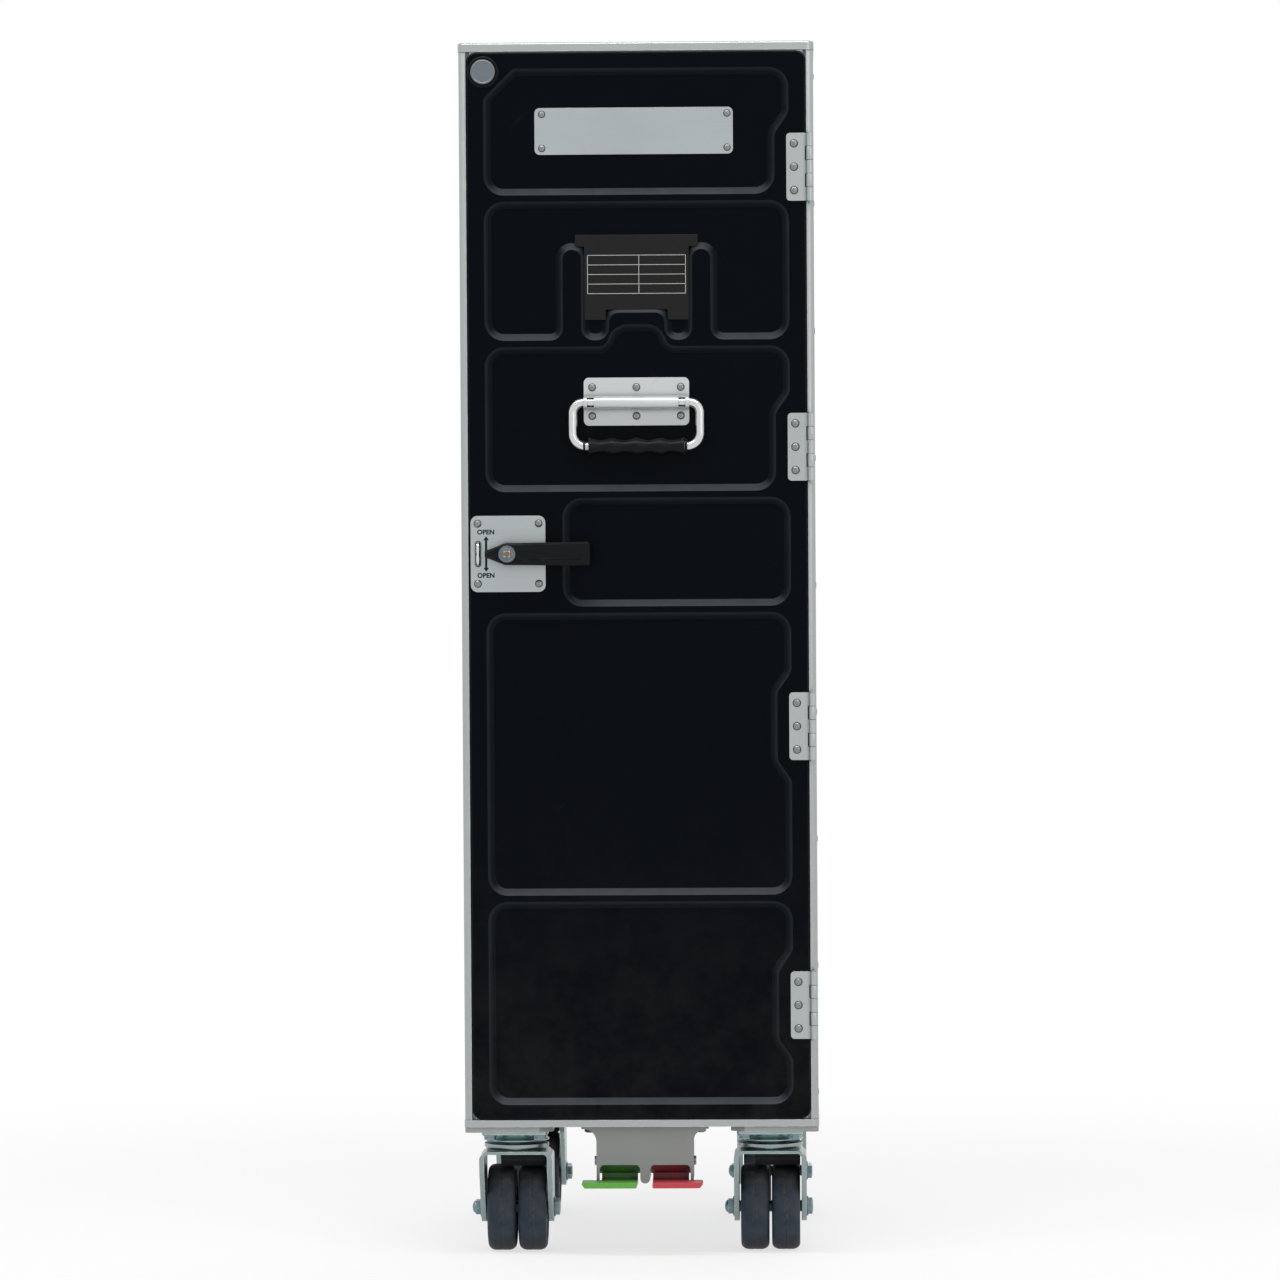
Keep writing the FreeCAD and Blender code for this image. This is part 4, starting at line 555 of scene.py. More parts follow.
def make_material(name, colour, rough, metal=0.0, gloss=0.5, grain=(900.0, 0.1, 0.1), brushed=None,
                  dust_and_sheen=0.3, glint=None, **layers):
    """A finish: colour with slow and fine changes; layers of scuffs, worn edges, a rubbed tread and
    settled dusting, some of them carrying painted highlights; painted shade in crevices; and a bump.

    A layer is given as the colour of each of its masks and then the values of its group.
    """
    material = bpy.data.materials.new("cart_" + name)
    MATERIALS[name] = material
    material.use_nodes = True
    material.node_tree.nodes.clear()
    net = Net(material.node_tree)
    base = shaded(net, "Brushed", brushed) if brushed else shaded(net, "Grain", grain)
    surface = net.node(
        "ShaderNodeVectorMath", {0: tuple(colour), "Scale": base["Tone"]}, operation="SCALE").outputs[0]
    swing = net.times(net.math("SUBTRACT", base["Uneven"], 0.5), ROUGH_SWING)
    roughness = net.add(swing, rough, clamp=True)
    layers["dust_and_sheen"] = (DUST_AND_SHEEN_COLOUR, dust_and_sheen)
    for kind, (group, masks, roughen) in LAYERS.items():
        if kind not in layers:
            continue
        given = layers[kind]
        found = shaded(net, group, given[len(masks):])
        for mask, shade in zip(masks, given):
            surface = net.mix(found[mask], surface, opaque(shade))
        if roughen:
            roughness = net.add(roughness, net.times(found["Mask"], roughen), clamp=True)
    shader = net.node("ShaderNodeBsdfPrincipled", {
        "Base Color": surface, "Roughness": roughness, "Normal": base["Normal"],
        "Metallic": metal, "Specular IOR Level": gloss})
    if glint:
        shader.inputs["Specular Tint"].default_value = opaque(glint)
    net.node("ShaderNodeOutputMaterial", {"Surface": shader.outputs[0]})


UPRIGHT = (1600.0, 1600.0, 28.0)
ACROSS = (28.0, 1600.0, 1600.0)
FORE_AFT = (1600.0, 28.0, 1600.0)
# Stretch for strong bands of tone round a turned part's axis: painted highlights and shade of turned
# metal.
PAINTED_BAND_STRETCH = (24.0, 24.0, 620.0)


def make_materials(look):
    """Every finish of the cart."""
    # Each crevice shade layer below paints shade into a finish's corners and crevices and where other
    # parts hang over it.
    make_material("anodised_frame", look.frame_colour, 0.36, metal=0.85, brushed=(UPRIGHT, 0.10, 0.07),
                  wear=((0.80, 0.80, 0.79), 0.0015, 0.6), scuff=(grey(0.30), 0.45), dust_and_sheen=0.25,
                  grime=((0.10, 0.11, 0.11), 0.006, 0.5))
    make_material("anodised_rim", look.frame_colour, 0.34, metal=0.85, brushed=(ACROSS, 0.10, 0.07),
                  wear=((0.85, 0.85, 0.84), 0.0015, 0.7), scuff=(grey(0.30), 0.5), dust_and_sheen=0.3,
                  grime=((0.10, 0.11, 0.11), 0.006, 0.5))
    make_material("wall_panel", (0.60, 0.61, 0.62), 0.42, grain=(1400.0, 0.10, 0.05), gloss=0.5,
                  scuff=(grey(0.36), 0.40), dust_and_sheen=0.35)
    make_material("inner_sheet", (0.60, 0.61, 0.62), 0.34, metal=1.0, brushed=(FORE_AFT, 0.14, 0.10),
                  scuff=(grey(0.40), 0.5), dust_and_sheen=0.25)
    make_material("door_inner", (0.58, 0.59, 0.60), 0.34, metal=1.0, brushed=(UPRIGHT, 0.14, 0.10),
                  scuff=(grey(0.40), 0.5), dust_and_sheen=0.2)
    # On the door, the slope layer's two colours are a painted reflection along the fields' lips and
    # walls and a painted highlight on the ledges that look up; its worn-edge colour is a painted
    # reflection along the lips; its dusting lightens the faces that look up as a painted highlight and
    # makes the door lighter towards the bottom.
    make_material("door_moulding", look.door_colour, 0.32, gloss=0.065, grain=(2600.0, 0.20, 0.30),
                  wear=((0.020, 0.022, 0.024), 0.0016, 0.4), scuff=((0.02, 0.022, 0.024), 0.25),
                  dust_and_sheen=0.07, glint=(0.70, 0.85, 1.0),
                  slope=((0.016, 0.021, 0.024), (0.062, 0.071, 0.080), -0.190, 0.0034, 0.85))
    make_material("seal_rubber", grey(0.10), 0.62, gloss=0.3, grain=(1800.0, 0.2, 0.2))
    make_material("card", (0.014, 0.0145, 0.014), 0.42, gloss=0.08, grain=(2400.0, 0.08, 0.18),
                  scuff=((0.12, 0.12, 0.11), 0.6), dust_and_sheen=0.15)
    make_material("satin_plate", (0.42, 0.455, 0.46), 0.34, metal=1.0, brushed=(ACROSS, 0.16, 0.10),
                  scuff=(grey(0.38), 0.55), dust_and_sheen=0.1, grime=((0.06, 0.065, 0.065), 0.004, 0.8))
    make_material("hinge_leaf", (0.42, 0.45, 0.45), 0.36, metal=1.0, brushed=(UPRIGHT, 0.14, 0.10),
                  scuff=(grey(0.30), 0.5), dust_and_sheen=0.1, grime=((0.05, 0.055, 0.055), 0.004, 0.85))
    make_material("magnet_face", (0.15, 0.18, 0.20), 0.42, metal=0.9, brushed=(ACROSS, 0.30, 0.30),
                  wear=((0.45, 0.48, 0.50), 0.0012, 0.8), scuff=((0.30, 0.33, 0.35), 0.7), dust_and_sheen=0.1,
                  grime=((0.02, 0.022, 0.025), 0.004, 0.8))
    # Near-black screw material: painted shade in the screws' cross recesses and round their heads.
    make_material("screw_recess", (0.018, 0.020, 0.021), 0.6, metal=0.3, grain=(2600.0, 0.2, 0.3),
                  dust_and_sheen=0.05)
    make_material("brake_block", (0.004, 0.005, 0.006), 0.55, gloss=0.12, grain=(1600.0, 0.3, 0.3),
                  wear=(grey(0.05), 0.0012, 0.5), dust_and_sheen=0.08)
    make_material("blue_zinc", (0.17, 0.25, 0.28), 0.25, metal=0.95, grain=(900.0, 0.16, 0.30),
                  wear=((0.60, 0.66, 0.66), 0.0014, 1.0), scuff=((0.30, 0.28, 0.20), 0.6), dust_and_sheen=0.15,
                  grime=((0.015, 0.035, 0.045), 0.006, 0.9))
    make_material("white_plate", (0.56, 0.585, 0.59), 0.36, metal=0.55, brushed=(ACROSS, 0.10, 0.06),
                  scuff=(grey(0.40), 0.5), dust_and_sheen=0.05, grime=((0.10, 0.11, 0.115), 0.006, 0.9))
    make_material("polished_rod", (0.62, 0.63, 0.63), 0.22, metal=1.0, brushed=(ACROSS, 0.06, 0.06),
                  scuff=(grey(0.42), 0.4), dust_and_sheen=0.05, grime=((0.16, 0.17, 0.175), 0.006, 0.7))
    make_material("black_grip", (0.003, 0.0045, 0.005), 0.32, gloss=0.12, grain=(2200.0, 0.12, 0.2),
                  wear=((0.06, 0.065, 0.07), 0.0010, 0.5), scuff=((0.05, 0.055, 0.06), 0.6), dust_and_sheen=0.04)
    make_material("base_plate", (0.30, 0.315, 0.305), 0.42, metal=0.35, gloss=0.4,
                  grain=(1200.0, 0.2, 0.16), wear=((0.58, 0.58, 0.56), 0.0016, 0.7),
                  scuff=((0.42, 0.42, 0.40), 0.6), dust_and_sheen=0.3, grime=((0.07, 0.075, 0.07), 0.016, 0.7))
    make_material("zinc_steel", (0.27, 0.335, 0.34), 0.28, metal=0.95, grain=(900.0, 0.16, 0.34),
                  wear=((0.72, 0.76, 0.72), 0.0020, 1.0), scuff=((0.20, 0.17, 0.10), 0.8), dust_and_sheen=0.2,
                  grime=((0.055, 0.085, 0.085), 0.006, 0.5))
    # Strong bands of tone round the swivels: painted highlights and shade of turned metal.
    make_material("zinc_with_painted_bands", (0.34, 0.45, 0.45), 0.24, metal=0.95, brushed=(PAINTED_BAND_STRETCH, 0.10, 0.75),
                  wear=((0.75, 0.80, 0.78), 0.0020, 1.0), scuff=((0.20, 0.17, 0.10), 0.8), dust_and_sheen=0.1,
                  grime=((0.05, 0.08, 0.08), 0.005, 0.4))
    make_material("fastener", (0.23, 0.245, 0.245), 0.28, metal=1.0, grain=(2600.0, 0.10, 0.16),
                  scuff=((0.30, 0.30, 0.29), 0.5), dust_and_sheen=0.12, grime=((0.03, 0.032, 0.034), 0.004, 1.0))
    make_material("bronze", (0.22, 0.145, 0.075), 0.34, metal=1.0, grain=(2600.0, 0.10, 0.2), dust_and_sheen=0.05)
    # The tyres' crevice shade paints the shade that falls on them under the cart.
    make_material("caster_tyre", look.tyre_colour, 0.60, gloss=0.28, grain=(1500.0, 0.30, 0.28),
                  wear=((0.16, 0.18, 0.20), 0.0016, 0.5), scuff=((0.12, 0.13, 0.14), 0.8),
                  grime=((0.004, 0.005, 0.007), 0.020, 0.8), tread=((0.085, 0.082, 0.070), 0.0022, 0.4))
    make_material("caster_hub", (0.20, 0.21, 0.22), 0.48, gloss=0.4, grain=(1600.0, 0.15, 0.15),
                  scuff=(grey(0.30), 0.5), dust_and_sheen=0.35)
    # The pedals' crevice shade, with its long reach, paints the shadow that the bracket casts on them.
    make_material("release_green", look.release_colour, 0.38, gloss=0.5, grain=(1800.0, 0.10, 0.10),
                  wear=((0.30, 0.55, 0.22), 0.0010, 0.6), scuff=((0.25, 0.45, 0.2), 0.5), dust_and_sheen=0.12,
                  grime=((0.010, 0.05, 0.006), 0.022, 1.0))
    make_material("brake_red", look.brake_colour, 0.38, gloss=0.5, grain=(1800.0, 0.10, 0.10),
                  wear=((0.75, 0.20, 0.20), 0.0010, 0.6), scuff=((0.60, 0.15, 0.15), 0.5), dust_and_sheen=0.12,
                  grime=((0.07, 0.006, 0.010), 0.022, 1.0))


FINISHES = {
    "anodised_frame": ["post_front_left", "post_front_right", "post_rear_left", "post_rear_right"],
    "anodised_rim": ["top_rim", "bottom_rim"],
    "wall_panel": ["side_panel_left", "side_panel_right", "back_panel"],
    "inner_sheet": ["worktop", "floor_panel", "tray_runners_left", "tray_runners_right"],
    "door_inner": ["door_inner_panel"],
    "door_moulding": ["door_skin"],
    "seal_rubber": ["door_gasket"],
    "card": ["data_card"],
    "satin_plate": ["name_plate", "latch_plate", "hold_open_magnet", "seal_staple", "latch_tongue",
                    "latch_spindle"],
    "hinge_leaf": ["hinge_door_leaves", "hinge_frame_leaves", "hinge_pins"],
    "white_plate": ["handle_plate"],
    "polished_rod": ["bail_rod"],
    "black_grip": ["bail_grip", "latch_lever"],
    "base_plate": ["pedal_bracket"] + ["corner_plate_" + corner for corner in CORNERS],
    "zinc_steel": ["pedal_shaft"] + [
        kind + corner for kind in ("caster_plate_", "caster_fork_", "caster_axle_")
        for corner in CORNERS],
    "caster_tyre": ["wheel_{}_{}".format(corner, side) for corner in CORNERS for side in SIDES],
    "release_green": ["release_pedal"],
    "brake_red": ["brake_pedal"],
}
BEVELLED = FINISHES["anodised_frame"] + FINISHES["wall_panel"] + [
    "name_plate", "latch_plate", "handle_plate", "latch_tongue", "latch_lever", "latch_spindle",
    "data_card", "hinge_frame_leaves", "tray_runners_left", "tray_runners_right",
] + ["corner_plate_" + corner for corner in CORNERS]


class CART_OT_finishes(bpy.types.Operator):
    """Give every carried-over node its finish and its small bevels"""
    bl_idname = "cart.finishes"
    bl_label = "Finishes"

    def execute(self, context):
        look = context.scene.cart_finish
        for make_group in (grain_group, brushed_group, wear_group, scuff_group, dust_and_sheen_group, grime_group,
                           field_highlights_group, tread_group):
            make_group()
        make_materials(look)
        for finish, names in FINISHES.items():
            for name in names:
                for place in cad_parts[name].material_slots:
                    place.material = MATERIALS[finish]
        for name in BEVELLED:
            add_bevel(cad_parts[name], look.edge_bevel, weld=True)
        return {"FINISHED"}


# ---------------------------------------------------------------- door skin, hinges and magnet

class CART_OT_door_skin(bpy.types.Operator):
    """Mould the door's skin: the walls of its sunk fields fall away in a soft slope"""
    bl_idname = "cart.door_skin"
    bl_label = "Door Skin"

    def execute(self, context):
        look = context.scene.cart_finish
        plate, slack, hair = 1.5, 0.05, 0.02
        wall_tilt, neighbours, reach, least_pull = 0.75, 3, 3.5, 0.1
        bm = copy_of("door_skin")
        land = low("latch_plate").y + plate
        floor = high("name_plate").y
        walls = [vert for vert in bm.verts
                 if land - slack < vert.co.y < floor + slack and abs(vert.normal.y) < wall_tilt]
        tree = KDTree(len(walls))
        for index, vert in enumerate(walls):
            tree.insert((vert.co.x, 0, vert.co.z), index)
        tree.balance()
        moves = []
        for vert in bm.verts:
            if not land + hair < vert.co.y < floor + slack:
                continue
            found = tree.find_n((vert.co.x, 0, vert.co.z), neighbours)
            near = [walls[index].normal for _, index, far in found if far < reach]
            way = Vector((sum(n.x for n in near), 0, sum(n.z for n in near))) if near else Vector()
            if way.length > least_pull:
                depth = (vert.co.y - land) / (floor - land)
                moves.append((vert, way.normalized() * look.field_slope / MM * ramp(depth, -0.1, 1.1)))
        for vert, move in moves:
            vert.co += move
        mesh = to_mesh("moulded_skin", bm, SOFT_LIMIT)
        skin = put("moulded_skin", mesh, "door", "door_moulding")
        soften(skin)
        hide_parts("door_skin")
        return {"FINISHED"}


class CART_OT_hinges(bpy.types.Operator):
    """Round the free corners of the door's hinge leaves"""
    bl_idname = "cart.hinges"
    bl_label = "Hinges"

    def execute(self, context):
        slack, sheet, radius, rounding = 0.02, 0.8, 3.2, 6
        bm = copy_of("hinge_door_leaves")
        free = low("hinge_door_leaves").x
        corners = []
        for edge in bm.edges:
            first, second = (vert.co for vert in edge.verts)
            at_free_end = max(abs(first.x - free), abs(second.x - free)) < slack
            if at_free_end and abs(first.y - second.y) > sheet:
                corners.append(edge)
        bmesh.ops.bevel(
            bm, geom=corners, offset=radius, segments=rounding, profile=0.5, affect="EDGES")
        leaves = put("hinge_leaves", bm, "door", "hinge_leaf")
        soften(leaves, context.scene.cart_finish.edge_bevel)
        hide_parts("hinge_door_leaves")
        return {"FINISHED"}


class CART_OT_magnet(bpy.types.Operator):
    """Turn the hold-open magnet: a worn disc with a bright lip, in a rubber seat"""
    bl_idname = "cart.magnet"
    bl_label = "Magnet"

    def execute(self, context):
        lower, upper = low("hold_open_magnet"), high("hold_open_magnet")
        radius, face, back = (upper.x - lower.x) / 2, lower.y, upper.y
        spot = centre("hold_open_magnet")
        bm = bmesh.new()
        lathe(bm, "y", [(back + 0.2, radius), (face + 0.6, radius), (face + 0.1, radius - 0.5),
                        (face, radius - 0.9), (face + 0.15, radius - 1.5), (face + 0.4, radius - 1.8),
                        (face + 0.35, 0)], 72, (spot.x, 0, spot.z))
        disc = put("magnet_disc", bm, "door", "magnet_face")
        bm = bmesh.new()
        seat = [(0.2, 3.0), (-0.5, 2.8), (-0.9, 2.2), (-0.9, 1.2), (-0.4, 0.3), (0.2, 0.2)]
        lathe(bm, "y", [(back + a, radius + r) for a, r in seat], 72, (spot.x, 0, spot.z))
        put("magnet_seat", bm, "door", "black_grip")
        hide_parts("hold_open_magnet")
        return {"FINISHED"}


# ---------------------------------------------------------------- screws, rivets and bolts

SEAT_DEPTH = 0.3
DOME_STEPS = 8
SCREW_SEGMENTS = 40


def screw_mesh(name, radius, height):
    """A raised cross-head screw, its seat at the origin and its head towards -Y."""
    bm = bmesh.new()
    profile = [(SEAT_DEPTH, radius * 0.96), (-height * 0.25, radius)]
    for step in range(1, DOME_STEPS + 1):
        angle = math.pi / 2 * step / DOME_STEPS
        profile.append((-height * (0.25 + 0.75 * math.sin(angle)), radius * math.cos(angle) ** 0.8))
    profile[-1] = (-height, 0)
    lathe(bm, "y", profile, SCREW_SEGMENTS)
    # A dark ring round the foot of the head, and the faces cut by the cross, take the near-black screw
    # material: painted shade in the gap and the recess.
    whole = len(bm.faces)
    inner, outer, lip = radius * 0.9, radius * 1.16, -0.06
    lathe(bm, "y", [(SEAT_DEPTH, inner), (SEAT_DEPTH, outer), (lip, outer), (lip, inner)],
          SCREW_SEGMENTS)
    bm.faces.ensure_lookup_table()
    for face in bm.faces[whole:]:
        face.material_index = 1
    head = to_mesh(name + "_head", bm)
    head.materials.append(MATERIALS["fastener"])
    head.materials.append(MATERIALS["screw_recess"])
    bm = bmesh.new()
    arm, thick, taper = radius * 0.68, radius * 0.22, 0.55
    for turn in (0, math.pi / 2):
        points = []
        for a, b in ((-arm, -thick), (arm, -thick), (arm, thick), (-arm, thick)):
            points.append((a * math.cos(turn) - b * math.sin(turn),
                           a * math.sin(turn) + b * math.cos(turn)))
        start = len(bm.verts)
        prism(bm, "y", points, -height * 1.6, -height * 0.35)
        bm.verts.ensure_lookup_table()
        for vert in bm.verts[start:]:
            if vert.co.y > -height:
                vert.co.x *= taper
                vert.co.z *= taper
    cross = to_mesh(name + "_cross", bm)
    cross.materials.append(MATERIALS["screw_recess"])
    return cut_away(name, head, cross)


def rivet_mesh(name, radius):
    """A domed rivet with a small pip, towards -Y."""
    bm = bmesh.new()
    edge, rise, steps = -0.15, 0.45, 6
    profile = [(SEAT_DEPTH, radius), (edge, radius)]
    for step in range(steps):
        angle = math.pi / 2 * step / steps
        profile.append((edge - rise * math.sin(angle), radius * math.cos(angle) * 0.93))
    profile += [(-0.52, radius * 0.20), (-0.42, radius * 0.16), (-0.42, 0)]
    lathe(bm, "y", profile, 28)
    return to_mesh(name, bm)


def bolt_mesh(name, radius, height, washer, axis="z"):
    """A hexagon head with bevelled corners on a washer; the seat is at the origin, the head at -."""
    bm = bmesh.new()
    lathe(bm, axis, [(0.2, washer), (-1.0, washer), (-1.3, washer - 0.3), (-1.3, 0)], 36)
    prism(bm, axis, regular(6, radius, 0.3), -1.2, -1.2 - height)
    rings = [(-0.8 - height, 0), (-0.8 - height, radius * 0.86), (-1.9 - height, radius * 0.60),
             (-1.9 - height, 0)]
    lathe(bm, axis, rings, 36)
    return to_mesh(name, bm)


def screw_places():
    """The screws of each plate: its node, the level of its face, the points and a head's radius."""
    name_low, name_high = low("name_plate"), high("name_plate")
    yield "name_plate", name_low.y, [
        (x, z) for x in (name_low.x + 6.2, name_high.x - 5.0)
        for z in (name_low.z + 5.4, name_high.z - 5.4)], 2.7
    plate, sheet = centre("handle_plate"), 1.5
    yield "handle_plate", high("handle_plate").y - sheet, [
        (plate.x + shift, plate.z + rise)
        for shift in (-38.0, 0.0, 38.0) for rise in (12.3, -12.3)], 2.9
    latch = centre("latch_plate")
    yield "latch_plate", low("latch_plate").y, [
        (latch.x + shift, latch.z + rise) for shift in (-26.0, 26.4) for rise in (26.0, -25.6)], 2.9
    leaf_height, leaf_sheet, leaves = 58.0, 1.8, 4
    hinge_low, hinge_high = low("hinge_door_leaves"), high("hinge_door_leaves")
    pitch = (hinge_high.z - hinge_low.z - leaf_height) / (leaves - 1)
    yield "hinge_door_leaves", hinge_high.y - leaf_sheet, [
        (hinge_low.x + 6.6, hinge_low.z + leaf_height / 2 + pitch * index + rise)
        for index in range(leaves) for rise in (-20.0, 0.0, 20.0)], 3.1


# Turn of the first screw's cross on a plate, and from each to the next, in radians.
FIRST_TURN, NEXT_TURN = 0.5, 1.9


class CART_OT_screws(bpy.types.Operator):
    """Put the cross-head screws on the door's plates and hinges"""
    bl_idname = "cart.screws"
    bl_label = "Screws"

    def execute(self, context):
        sizes = context.scene.cart_screws
        meshes = {}
        for node, level, points, radius in screw_places():
            if radius not in meshes:
                meshes[radius] = screw_mesh(
                    "screw_{}".format(len(meshes)), radius * sizes.head_scale,
                    sizes.head_height / MM)
            for number, (x, z) in enumerate(points):
                turn = Matrix.Rotation(FIRST_TURN + NEXT_TURN * number, 4, "Y")
                put("screw_{}_{}".format(node, number), meshes[radius], "door",
                    "fastener", (x, level, z), turn)
        return {"FINISHED"}


class CART_OT_rivets(bpy.types.Operator):
    """Put rows of rivets down the posts, on the back wall and inside the door"""
    bl_idname = "cart.rivets"
    bl_label = "Rivets"

    def execute(self, context):
        sizes = context.scene.cart_screws
        end, edge, quarter = 22, 9, math.pi / 2
        mesh = rivet_mesh("rivet", sizes.rivet_radius / MM)
        base, top = low("post_front_left").z + end, high("post_front_left").z - end
        count = max(2, round((top - base) * MM / sizes.rivet_pitch)) + 1
        levels = [base + (top - base) * n / (count - 1) for n in range(count)]
        half = high("post_front_right").x
        rows = [(side * half, centre(post).y, side * quarter)
                for side, place in ((-1, "left"), (1, "right"))
                for post in ("post_front_" + place, "post_rear_" + place)]
        rows += [(x, high("back_panel").y, math.pi)
                 for x in (low("back_panel").x + edge, high("back_panel").x - edge)]
        for row, (x, y, angle) in enumerate(rows):
            for number, z in enumerate(levels):
                put("rivet_{}_{}".format(row, number), mesh, "cabinet", "fastener",
                    (x, y, z), Matrix.Rotation(angle, 4, "Z"))
        inner = high("door_inner_panel")
        for row, x in enumerate((low("door_inner_panel").x + edge, inner.x - edge)):
            for number, z in enumerate(levels[1:-1]):
                put("rivet_door_{}_{}".format(row, number), mesh, "door", "fastener",
                    (x, inner.y, z), Matrix.Rotation(math.pi, 4, "Z"))
        return {"FINISHED"}


# How far the bolt seats lie under the tops of the caster plates and the bracket.
CASTER_SHEET = 3.5
BRACKET_SHEET = 4.7


class CART_OT_bolts(bpy.types.Operator):
    """Put the hexagon bolts under the caster plates and the pedal bracket"""
    bl_idname = "cart.bolts"
    bl_label = "Bolts"

    def execute(self, context):
        mesh = bolt_mesh("bolt", 5.2, 3.2, 6.2)
        for corner in CORNERS:
            plate = centre("caster_plate_" + corner)
            under = high("caster_plate_" + corner).z - CASTER_SHEET
            for number, (a, b) in enumerate(((-1, -1), (1, -1), (-1, 1), (1, 1))):
                put("bolt_{}_{}".format(corner, number), mesh, "cabinet", "blue_zinc",
                    (plate.x + a * 21.5, plate.y + b * 35.0, under))
        bracket = centre("pedal_bracket")
        under = high("pedal_bracket").z - BRACKET_SHEET
        small = bolt_mesh("bolt_small", 4.4, 2.8, 5.6)
        for number, (a, b) in enumerate(((-1, 0), (1, 0), (-1, 1), (1, 1))):
            put("bolt_bracket_{}".format(number), small, "cabinet", "fastener",
                (bracket.x + a * 48.5, bracket.y - 4 + b * 18.0, under))
        return {"FINISHED"}


# ---------------------------------------------------------------- printed marks

def flat_material(name, colour):
    """Printed ink: one colour, slightly uneven."""
    return make_material(name, colour, 0.5, gloss=0.1, grain=(3000.0, 0.05, 0.15), dust_and_sheen=0.02)


CAPITAL_TO_SIZE = 1.36
# Swell and thickness of the letters, in metres, and where other marks start and end, in millimetres.
STROKE_SWELL = 0.00022
INK_THICKNESS = 0.00004
INK_LIFT, INK_ROOT = 0.05, 0.02


class CART_OT_latch_marks(bpy.types.Operator):
    """Print the opening word and the two arrows on the latch plate"""
    bl_idname = "cart.latch_marks"
    bl_label = "Latch Marks"

    def execute(self, context):
        marks = context.scene.cart_marks
        flat_material("latch_ink", marks.ink)
        plate = centre("latch_plate")
        face = low("latch_plate").y
        for name, side in (("upper", 1), ("lower", -1)):
            text = bpy.data.curves.new("word_" + name, "FONT")
            text.body = marks.word
            text.align_x = "CENTER"
            text.align_y = "CENTER"
            text.size = marks.word_height * CAPITAL_TO_SIZE
            text.space_character = 1.04
            text.offset = STROKE_SWELL
            text.extrude = INK_THICKNESS
            text.materials.append(MATERIALS["latch_ink"])
            item = bpy.data.objects.new("word_" + name, text)
            bpy.context.scene.collection.objects.link(item)
            spot = Vector((plate.x - 19.0, face - 0.03, plate.z + 18.6 * side)) * MM
            item.matrix_world = Matrix.Translation(spot) @ Matrix.Rotation(math.pi / 2, 4, "X")
            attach(item, "door")
            bm = bmesh.new()
            tip, head, start, shaft, barb = 15.2, 11.8, 1.9, 1.0, 2.5
            outline = [(start, -shaft), (head, -shaft), (head, -barb), (tip, 0.0), (head, barb),
                       (head, shaft), (start, shaft)]
            prism(bm, "y", [(a * side, b) for a, b in outline], face - 0.06, face + INK_ROOT,
                  (plate.x - 18.8, 0, plate.z))
            put("arrow_" + name, bm, "door", "latch_ink")
        return {"FINISHED"}


class CART_OT_card_ruling(bpy.types.Operator):
    """Print the blank ruled table on the data card"""
    bl_idname = "cart.card_ruling"
    bl_label = "Card Ruling"

    def execute(self, context):
        marks = context.scene.cart_marks
        flat_material("card_ink", marks.line_colour)
        face = low("data_card").y
        middle = centre("data_card").x
        half = marks.line_width / MM / 2
        margin, width, column, rows, pitch = 17.6, 42.0, 2.0, 4, 8.2
        top = high("data_card").z - margin
        front, back = face - INK_LIFT, face + INK_ROOT
        bm = bmesh.new()
        for row in range(rows + 1):
            z = top - pitch * row
            bar(bm, (middle - width, front, z - half), (middle + width, back, z + half))
        for x in (-width, column, width):
            bar(bm, (middle + x - half, front, top - pitch * rows), (middle + x + half, back, top))
        put("card_ruling", bm, "door", "card_ink")
        return {"FINISHED"}


# ---------------------------------------------------------------- latch and bail details

class CART_OT_staple(bpy.types.Operator):
    """Build the seal staple, waisted round its eye, and the dark bush round its slot"""
    bl_idname = "cart.staple"
    bl_label = "Staple"

    def execute(self, context):
        lower, upper = low("seal_staple"), high("seal_staple")
        middle = (lower + upper) / 2
        half = (upper.z - lower.z) / 2
        reach = upper.y - lower.y
        corner, eye_radius, steps = reach / 2, 2.6, 72
        eye = Vector((0, upper.y - reach / 2 - 0.6, middle.z))
        bm = bmesh.new()
        loops = {}
        for side in (-1, 1):
            outer, inner = [], []
            for step in range(steps):
                angle = math.tau * step / steps
                a, b = math.cos(angle), math.sin(angle)
                z = middle.z + b * half
                flat = math.sqrt(max(0.0, 1 - max(0.0, (abs(b) * half - half + corner) / corner) ** 2))
                y = upper.y if a > 0 else upper.y - corner - flat * corner
                depth = abs(z - middle.z) / half
                thick = 0.85 + 0.35 * math.sin(math.pi * min(1.0, depth * 1.15))
                outer.append(bm.verts.new((middle.x + side * thick, y, z)))
                inner.append(bm.verts.new(
                    (middle.x + side * 0.75, eye.y + eye_radius * a, eye.z + eye_radius * b)))
            bridge(bm, outer, inner)
            loops[side] = (outer, inner)
        for left, right in zip(loops[-1], loops[1]):
            bridge(bm, left, right)
        item = put("staple", bm, "door", "polished_rod")
        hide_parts("seal_staple")
        face = low("latch_plate").y
        bm = bmesh.new()
        rows = []
        slot_half, steps = 8.6, 48
        for radius, level in ((2.65, 0.6), (2.65, -0.5), (2.2, -0.65), (1.75, -0.5), (1.75, 0.6)):
            loop = []
            for step in range(steps):
                angle = math.tau * step / steps
                lift = slot_half if math.sin(angle) >= 0 else -slot_half
                loop.append(bm.verts.new((
                    middle.x + radius * math.cos(angle), face + level,
                    middle.z + lift + radius * math.sin(angle))))
            rows.append(loop)
        for first, second in zip(rows, rows[1:]):
            bridge(bm, first, second)
        put("staple_bush", bm, "door", "seal_rubber")
        return {"FINISHED"}


